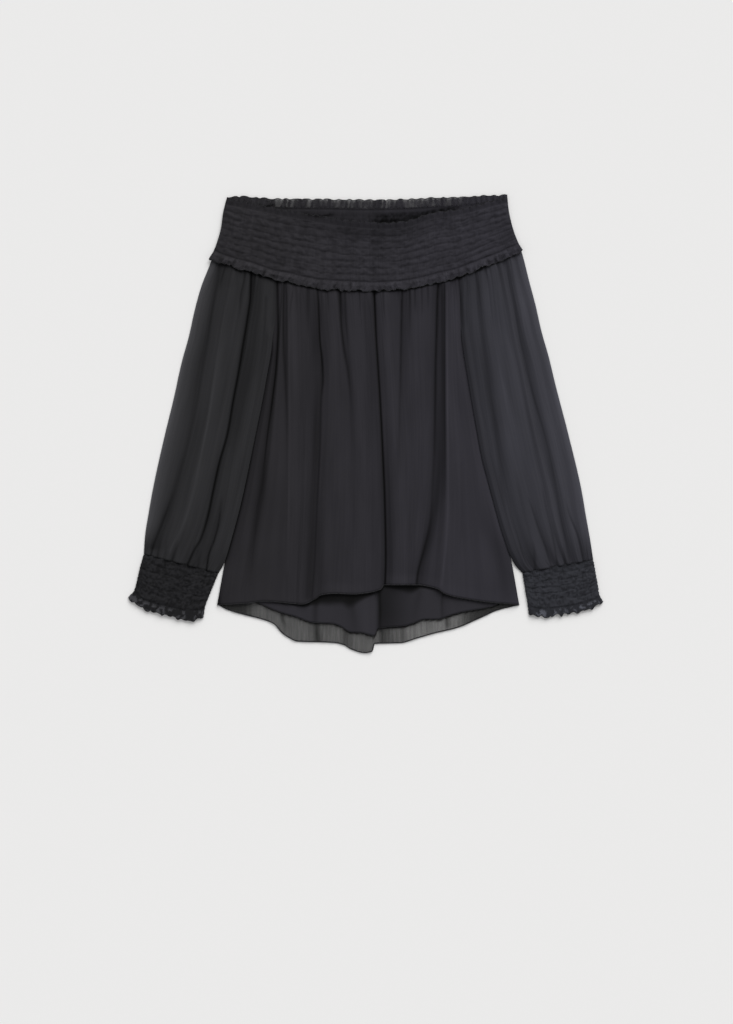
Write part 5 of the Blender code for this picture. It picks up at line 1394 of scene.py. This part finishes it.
def cloth_material(name):
    """The material of that name, made the first time that a piece asks for it."""
    known = bpy.data.materials.get(name)
    if known:
        return known
    look = bpy.context.scene.blouse_look
    if name == "crinkle_chiffon_body":
        return chiffon(name, look.chiffon_colour, look.chiffon_far_colour)
    if name == "crinkle_chiffon_sleeve":
        return chiffon(name, look.sleeve_colour, look.sleeve_far_colour, sheer_share=0.05)
    if name == "sheer_chiffon_single_layer":
        return chiffon(name, look.sheer_colour, look.sheer_colour, sheer_share=look.sheer_share)
    if name == "shirred_chiffon_band":
        return chiffon(name, look.shirred_colour, look.shirred_far_colour, sheer_share=0.5, crinkle_depth=0.8)
    if name == "shirred_chiffon_cuff":
        return chiffon(name, look.cuff_colour, look.cuff_far_colour, sheer_share=0.4, crinkle_depth=0.8)
    if name == "polyester_lining":
        return lining(name, look.lining_colour)
    return thread(name, look.thread_colour)


def lining(name, colour):
    """Plain woven polyester lining: smooth filament yarn, which gives a soft low sheen and no crinkle."""
    material, tree, shader = base_material(name, colour, 0.6)
    shader.inputs["Specular IOR Level"].default_value = 0.12
    # The yarns are 0.1 mm apart. They are drawn 1.5 mm apart so that they show
    yarns = noise(tree, mapped(tree, 1.5, 6.0), Detail=1.0)
    # The yarns' tone takes the painted shade that each vertex holds, in creases and under the front's hem
    surface(tree, shader, (*colour, 1.0), painted_shade(tree, spread(tree, yarns, 0.95, 1.05)), yarns, 0.15, 0.0004)
    return material


def thread(name, colour):
    """Spun polyester sewing thread, twisted, which gives a dull broken line along a seam or merrowed edge."""
    material, tree, shader = base_material(name, colour, 0.7)
    shader.inputs["Specular IOR Level"].default_value = 0.06
    place = add_node(tree, "ShaderNodeTexCoord").outputs["Object"]
    # Overlock stitches lie 1.4 mm apart
    stitches = add_node(
        tree, "ShaderNodeTexNoise", Vector=place, Scale=1000 / 1.4, Detail=1.0
    ).outputs["Fac"]
    tone = spread(tree, stitches, 0.5, 1.3, start=0.35, end=0.65)
    surface(tree, shader, (*colour, 1.0), tone, stitches, 0.5, 0.0005)
    return material


def studio_paper(name, colour):
    """Seamless background paper: uncoated and matt, so it takes soft shadows and shows no gloss."""
    material, tree, shader = base_material(name, colour, 0.95)
    shader.inputs["Specular IOR Level"].default_value = 0.1
    place = add_node(tree, "ShaderNodeTexCoord").outputs["Object"]
    # Paper fibre clumps of about 4 mm, very faint
    fibres = add_node(tree, "ShaderNodeTexNoise", Vector=place, Scale=1000 / 4.0, Detail=2.0).outputs["Fac"]
    bump = add_node(tree, "ShaderNodeBump", Height=fibres, Strength=0.02, Distance=0.0005).outputs["Normal"]
    tree.links.new(bump, shader.inputs["Normal"])
    return material


def size_property(name, description, default, high, low=0.0, precision=4):
    """A size in metres."""
    return FloatProperty(
        name=name, description=description, default=default, min=low, max=high, unit="LENGTH",
        precision=precision,
    )


def share_property(name, description, default, high, low=0.0):
    return FloatProperty(
        name=name, description=description, default=default, min=low, max=high, subtype="FACTOR"
    )


def colour_property(name, description, hex_colour):
    return FloatVectorProperty(
        name=name, description=description, subtype="COLOR", default=linear(hex_colour), min=0.0, max=1.0
    )


class BlouseLook(bpy.types.PropertyGroup):
    """Sizes and colours of the cloth, its sewing and the stage."""

    cloth_thickness: size_property(
        "Cloth thickness", "How thick each shell of cloth is", 0.0006, 0.0012, low=0.0002
    )
    fold_height: share_property(
        "Fold height", "Height of the long folds, as a share of the solids' folds", 1.4, 2.0, low=0.5
    )
    crease_depth: size_property("Crease depth", "How far a sharp crease sinks into the cloth", 0.0012, 0.003)
    gather_height: size_property("Gather height", "Height of the gathers beside a seam", 0.0013, 0.004)
    crinkle_height: size_property(
        "Crinkle height", "Height of the chiffon's fine lengthways creases", 0.00022, 0.001, precision=5
    )
    puff_height: size_property(
        "Puff height", "How far the cloth puffs out between lines of elastic thread", 0.0019, 0.004
    )
    cell_width: size_property("Puff width", "Width of one puff of the shirring", 0.0058, 0.02, low=0.003)
    ruffle_wave: size_property("Ruffle wave", "Height of the waves in the ruffles' edges", 0.0015, 0.004)
    sheer_share: share_property("Sheerness", "Light that one layer of sheer chiffon lets through", 0.62, 1.0)
    chiffon_colour: colour_property("Front", "Colour of the front's chiffon on its left side", CHIFFON_HEX)
    chiffon_far_colour: colour_property(
        "Front, far side", "Colour of the front's chiffon on its right side", CHIFFON_FAR_HEX
    )
    sleeve_colour: colour_property("Sleeve", "Colour of the left sleeve's chiffon", SLEEVE_HEX)
    sleeve_far_colour: colour_property(
        "Sleeve, far side", "Colour of the right sleeve's chiffon", SLEEVE_FAR_HEX
    )
    shirred_colour: colour_property("Band", "Colour of the band on its left side", SHIRRED_HEX)
    shirred_far_colour: colour_property(
        "Band, far side", "Colour of the band on its right side", SHIRRED_FAR_HEX
    )
    cuff_colour: colour_property("Cuff", "Colour of the left cuff", CUFF_HEX)
    cuff_far_colour: colour_property("Cuff, far side", "Colour of the right cuff", CUFF_FAR_HEX)
    sheer_colour: colour_property("Sheer chiffon", "Colour of the back's single layer", SHEER_HEX)
    lining_colour: colour_property("Lining", "Colour of the lining", LINING_HEX)
    thread_colour: colour_property("Thread", "Colour of the sewing and elastic thread", THREAD_HEX)
    floor_colour: colour_property("Floor", "Colour of the floor", FLOOR_HEX)


class BLOUSE_OT_body(bpy.types.Operator):
    """Makes the front, the sheer back and the back's lining"""

    bl_idname = "blouse.body"
    bl_label = "Body"

    def execute(self, context):
        back = sew_piece(
            "back_cloth", lambda across, down: lay_back(across, back_share(down)), (640, 560),
            cloth_material("sheer_chiffon_single_layer"), rows=60, columns=240,
        )
        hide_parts("back_panel")
        inner = sew_piece(
            "back_lining_cloth", lambda across, down: lay_lining(across, back_share(down)), (480, 500),
            cloth_material("polyester_lining"), rows=60, columns=170,
        )
        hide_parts("back_lining")
        front = sew_piece(
            "front_cloth", lay_front, (600, 480), cloth_material("crinkle_chiffon_body"), rows=150,
            columns=320,
        )
        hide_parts("front_panel")
        return {"FINISHED"}


class BLOUSE_OT_sleeves(bpy.types.Operator):
    """Makes both sleeves, gathered into the band and into the cuffs"""

    bl_idname = "blouse.sleeves"
    bl_label = "Sleeves"

    def execute(self, context):
        material = cloth_material("crinkle_chiffon_sleeve")
        for side, *tables in SLEEVES:
            lay, underarm = sleeve_layer(*tables)
            sleeve = sew_piece(
                f"sleeve_{side}_cloth", lay, (440, 460), material, rows=SLEEVE_ROWS, columns=170,
                tube_from=math.ceil(underarm * SLEEVE_ROWS),
            )
            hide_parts(f"sleeve_{side}")
        return {"FINISHED"}


class BLOUSE_OT_band(bpy.types.Operator):
    """Makes the front and back of the shirred band with their ruffles"""

    bl_idname = "blouse.band"
    bl_label = "Band"

    def execute(self, context):
        material = cloth_material("shirred_chiffon_band")
        back = sew_piece(
            "band_back_cloth", lambda across, down: lay_band_back(across, back_height(down)), (800, 130),
            material, rows=48, columns=360,
        )
        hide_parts("band_back")
        front = sew_piece(
            "band_front_cloth", lambda across, down: lay_band_front(across, band_share(down)), (800, 130),
            material, rows=BAND_GRID_ROWS, columns=430,
        )
        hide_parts("band_front")
        return {"FINISHED"}


class BLOUSE_OT_cuffs(bpy.types.Operator):
    """Makes both shirred cuffs with their ruffles"""

    bl_idname = "blouse.cuffs"
    bl_label = "Cuffs"

    def execute(self, context):
        material = cloth_material("shirred_chiffon_cuff")
        for side, *tables in CUFFS:
            cuff = sew_piece(
                f"cuff_{side}_cloth", cuff_layer(*tables), (400, 100), material, rows=76, columns=140,
                tube_from=0,
            )
            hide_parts(f"cuff_{side}")
        return {"FINISHED"}


class BLOUSE_OT_sewing(bpy.types.Operator):
    """Makes the elastic thread of the band and the rolled edges of hems and ruffles"""

    bl_idname = "blouse.sewing"
    bl_label = "Sewing"

    def execute(self, context):
        material = cloth_material("sewing_thread")
        shares = [mix(HEADING_SHARE, SHIRRING_SHARE, line / BAND_ROWS) for line in range(BAND_ROWS + 1)]
        lines = [path_of(lay_band_front, share, 220, ELASTIC_SINK, 0.004, 0.996) for share in shares]
        elastic = sew_threads("band_elastic_thread", lines, ELASTIC_RADIUS, material, sides=5)
        edges = [path_of(lay_band_front, share, 430, EDGE_SINK) for share in (1.0, 0.0)]
        sew_threads("ruffle_rolled_edges", edges, EDGE_RADIUS, material)
        edge = [path_of(lay_band_back, 0.0, 360, EDGE_SINK)]
        sew_threads("back_ruffle_rolled_edge", edge, EDGE_RADIUS, material)
        for side, *tables in CUFFS:
            edge = [path_of(cuff_layer(*tables), 1.0, 140, EDGE_SINK, 0.0, CUFF_TOP_SHARE)]
            sew_threads(f"cuff_{side}_rolled_edge", edge, EDGE_RADIUS, material)
        hem = [path_of(lay_front, 1.0, 300, FRONT_HEM_SINK)]
        sew_threads("front_hem_roll", hem, FRONT_HEM_RADIUS, material)
        hem = [path_of(lay_back, 1.0, 300, BACK_HEM_SINK)]
        sew_threads("back_hem_roll", hem, BACK_HEM_RADIUS, material)
        hem = [path_of(lay_lining, 1.0, 200, EDGE_SINK)]
        sew_threads("lining_hem_roll", hem, EDGE_RADIUS, material)
        return {"FINISHED"}


class BLOUSE_OT_stage(bpy.types.Operator):
    """Makes the floor, the soft studio light and the camera that looks straight down"""

    bl_idname = "blouse.stage"
    bl_label = "Stage"

    def execute(self, context):
        scene = context.scene
        look = scene.blouse_look
        bm = bmesh.new()
        bmesh.ops.create_grid(bm, x_segments=1, y_segments=1, size=FLOOR_SIZE / 2)
        mesh = bpy.data.meshes.new("floor")
        bm.to_mesh(mesh)
        bm.free()
        mesh.materials.append(studio_paper("studio_paper", look.floor_colour))
        floor = bpy.data.objects.new("floor", mesh)
        scene.collection.objects.link(floor)
        world = bpy.data.worlds.new("soft_studio_light")
        world.use_nodes = True
        world.node_tree.nodes["Background"].inputs["Color"].default_value = (*WORLD_COLOUR, 1.0)
        world.node_tree.nodes["Background"].inputs["Strength"].default_value = WORLD_STRENGTH
        scene.world = world
        lamp = bpy.data.lights.new("softbox", "SUN")
        lamp.energy = SOFTBOX_STRENGTH
        lamp.angle = math.radians(SOFTBOX_ANGLE)
        lamp.color = SOFTBOX_COLOUR
        softbox = bpy.data.objects.new("softbox", lamp)
        softbox.rotation_euler = Vector(SOFTBOX_FROM).to_track_quat("Z", "Y").to_euler()
        scene.collection.objects.link(softbox)
        lens = bpy.data.cameras.new("camera")
        lens.sensor_fit = "VERTICAL"
        lens.sensor_height = SENSOR_HEIGHT
        lens.sensor_width = SENSOR_HEIGHT
        lens.lens = LENS
        lens.clip_end = 100.0
        camera = bpy.data.objects.new("camera", lens)
        camera.location = (VIEW_MIDDLE_X, VIEW_MIDDLE_Y, VIEW_HEIGHT * LENS / SENSOR_HEIGHT)
        scene.collection.objects.link(camera)
        scene.camera = camera
        scene.view_settings.view_transform = "Standard"
        return {"FINISHED"}


class BLOUSE_PT_panel(bpy.types.Panel):
    """Lists the blouse's pieces and their sizes"""

    bl_label = "Blouse"
    bl_idname = "BLOUSE_PT_panel"
    bl_space_type = "VIEW_3D"
    bl_region_type = "UI"
    bl_category = "Blouse"

    def draw(self, context):
        for name in BlouseLook.__annotations__:
            self.layout.prop(context.scene.blouse_look, name)
        for operator in PIECES:
            self.layout.operator(operator.bl_idname)


PIECES = (
    BLOUSE_OT_body, BLOUSE_OT_sleeves, BLOUSE_OT_band, BLOUSE_OT_cuffs, BLOUSE_OT_sewing, BLOUSE_OT_stage,
)


def register():
    for made in (BlouseLook, *PIECES, BLOUSE_PT_panel):
        bpy.utils.register_class(made)
    bpy.types.Scene.blouse_look = PointerProperty(type=BlouseLook)


def unregister():
    del bpy.types.Scene.blouse_look
    for made in reversed((BlouseLook, *PIECES, BLOUSE_PT_panel)):
        bpy.utils.unregister_class(made)


def main():
    register()
    bpy.ops.blouse.body()
    bpy.ops.blouse.sleeves()
    bpy.ops.blouse.band()
    bpy.ops.blouse.cuffs()
    bpy.ops.blouse.sewing()
    bpy.ops.blouse.stage()


if __name__ == "__main__":
    main()
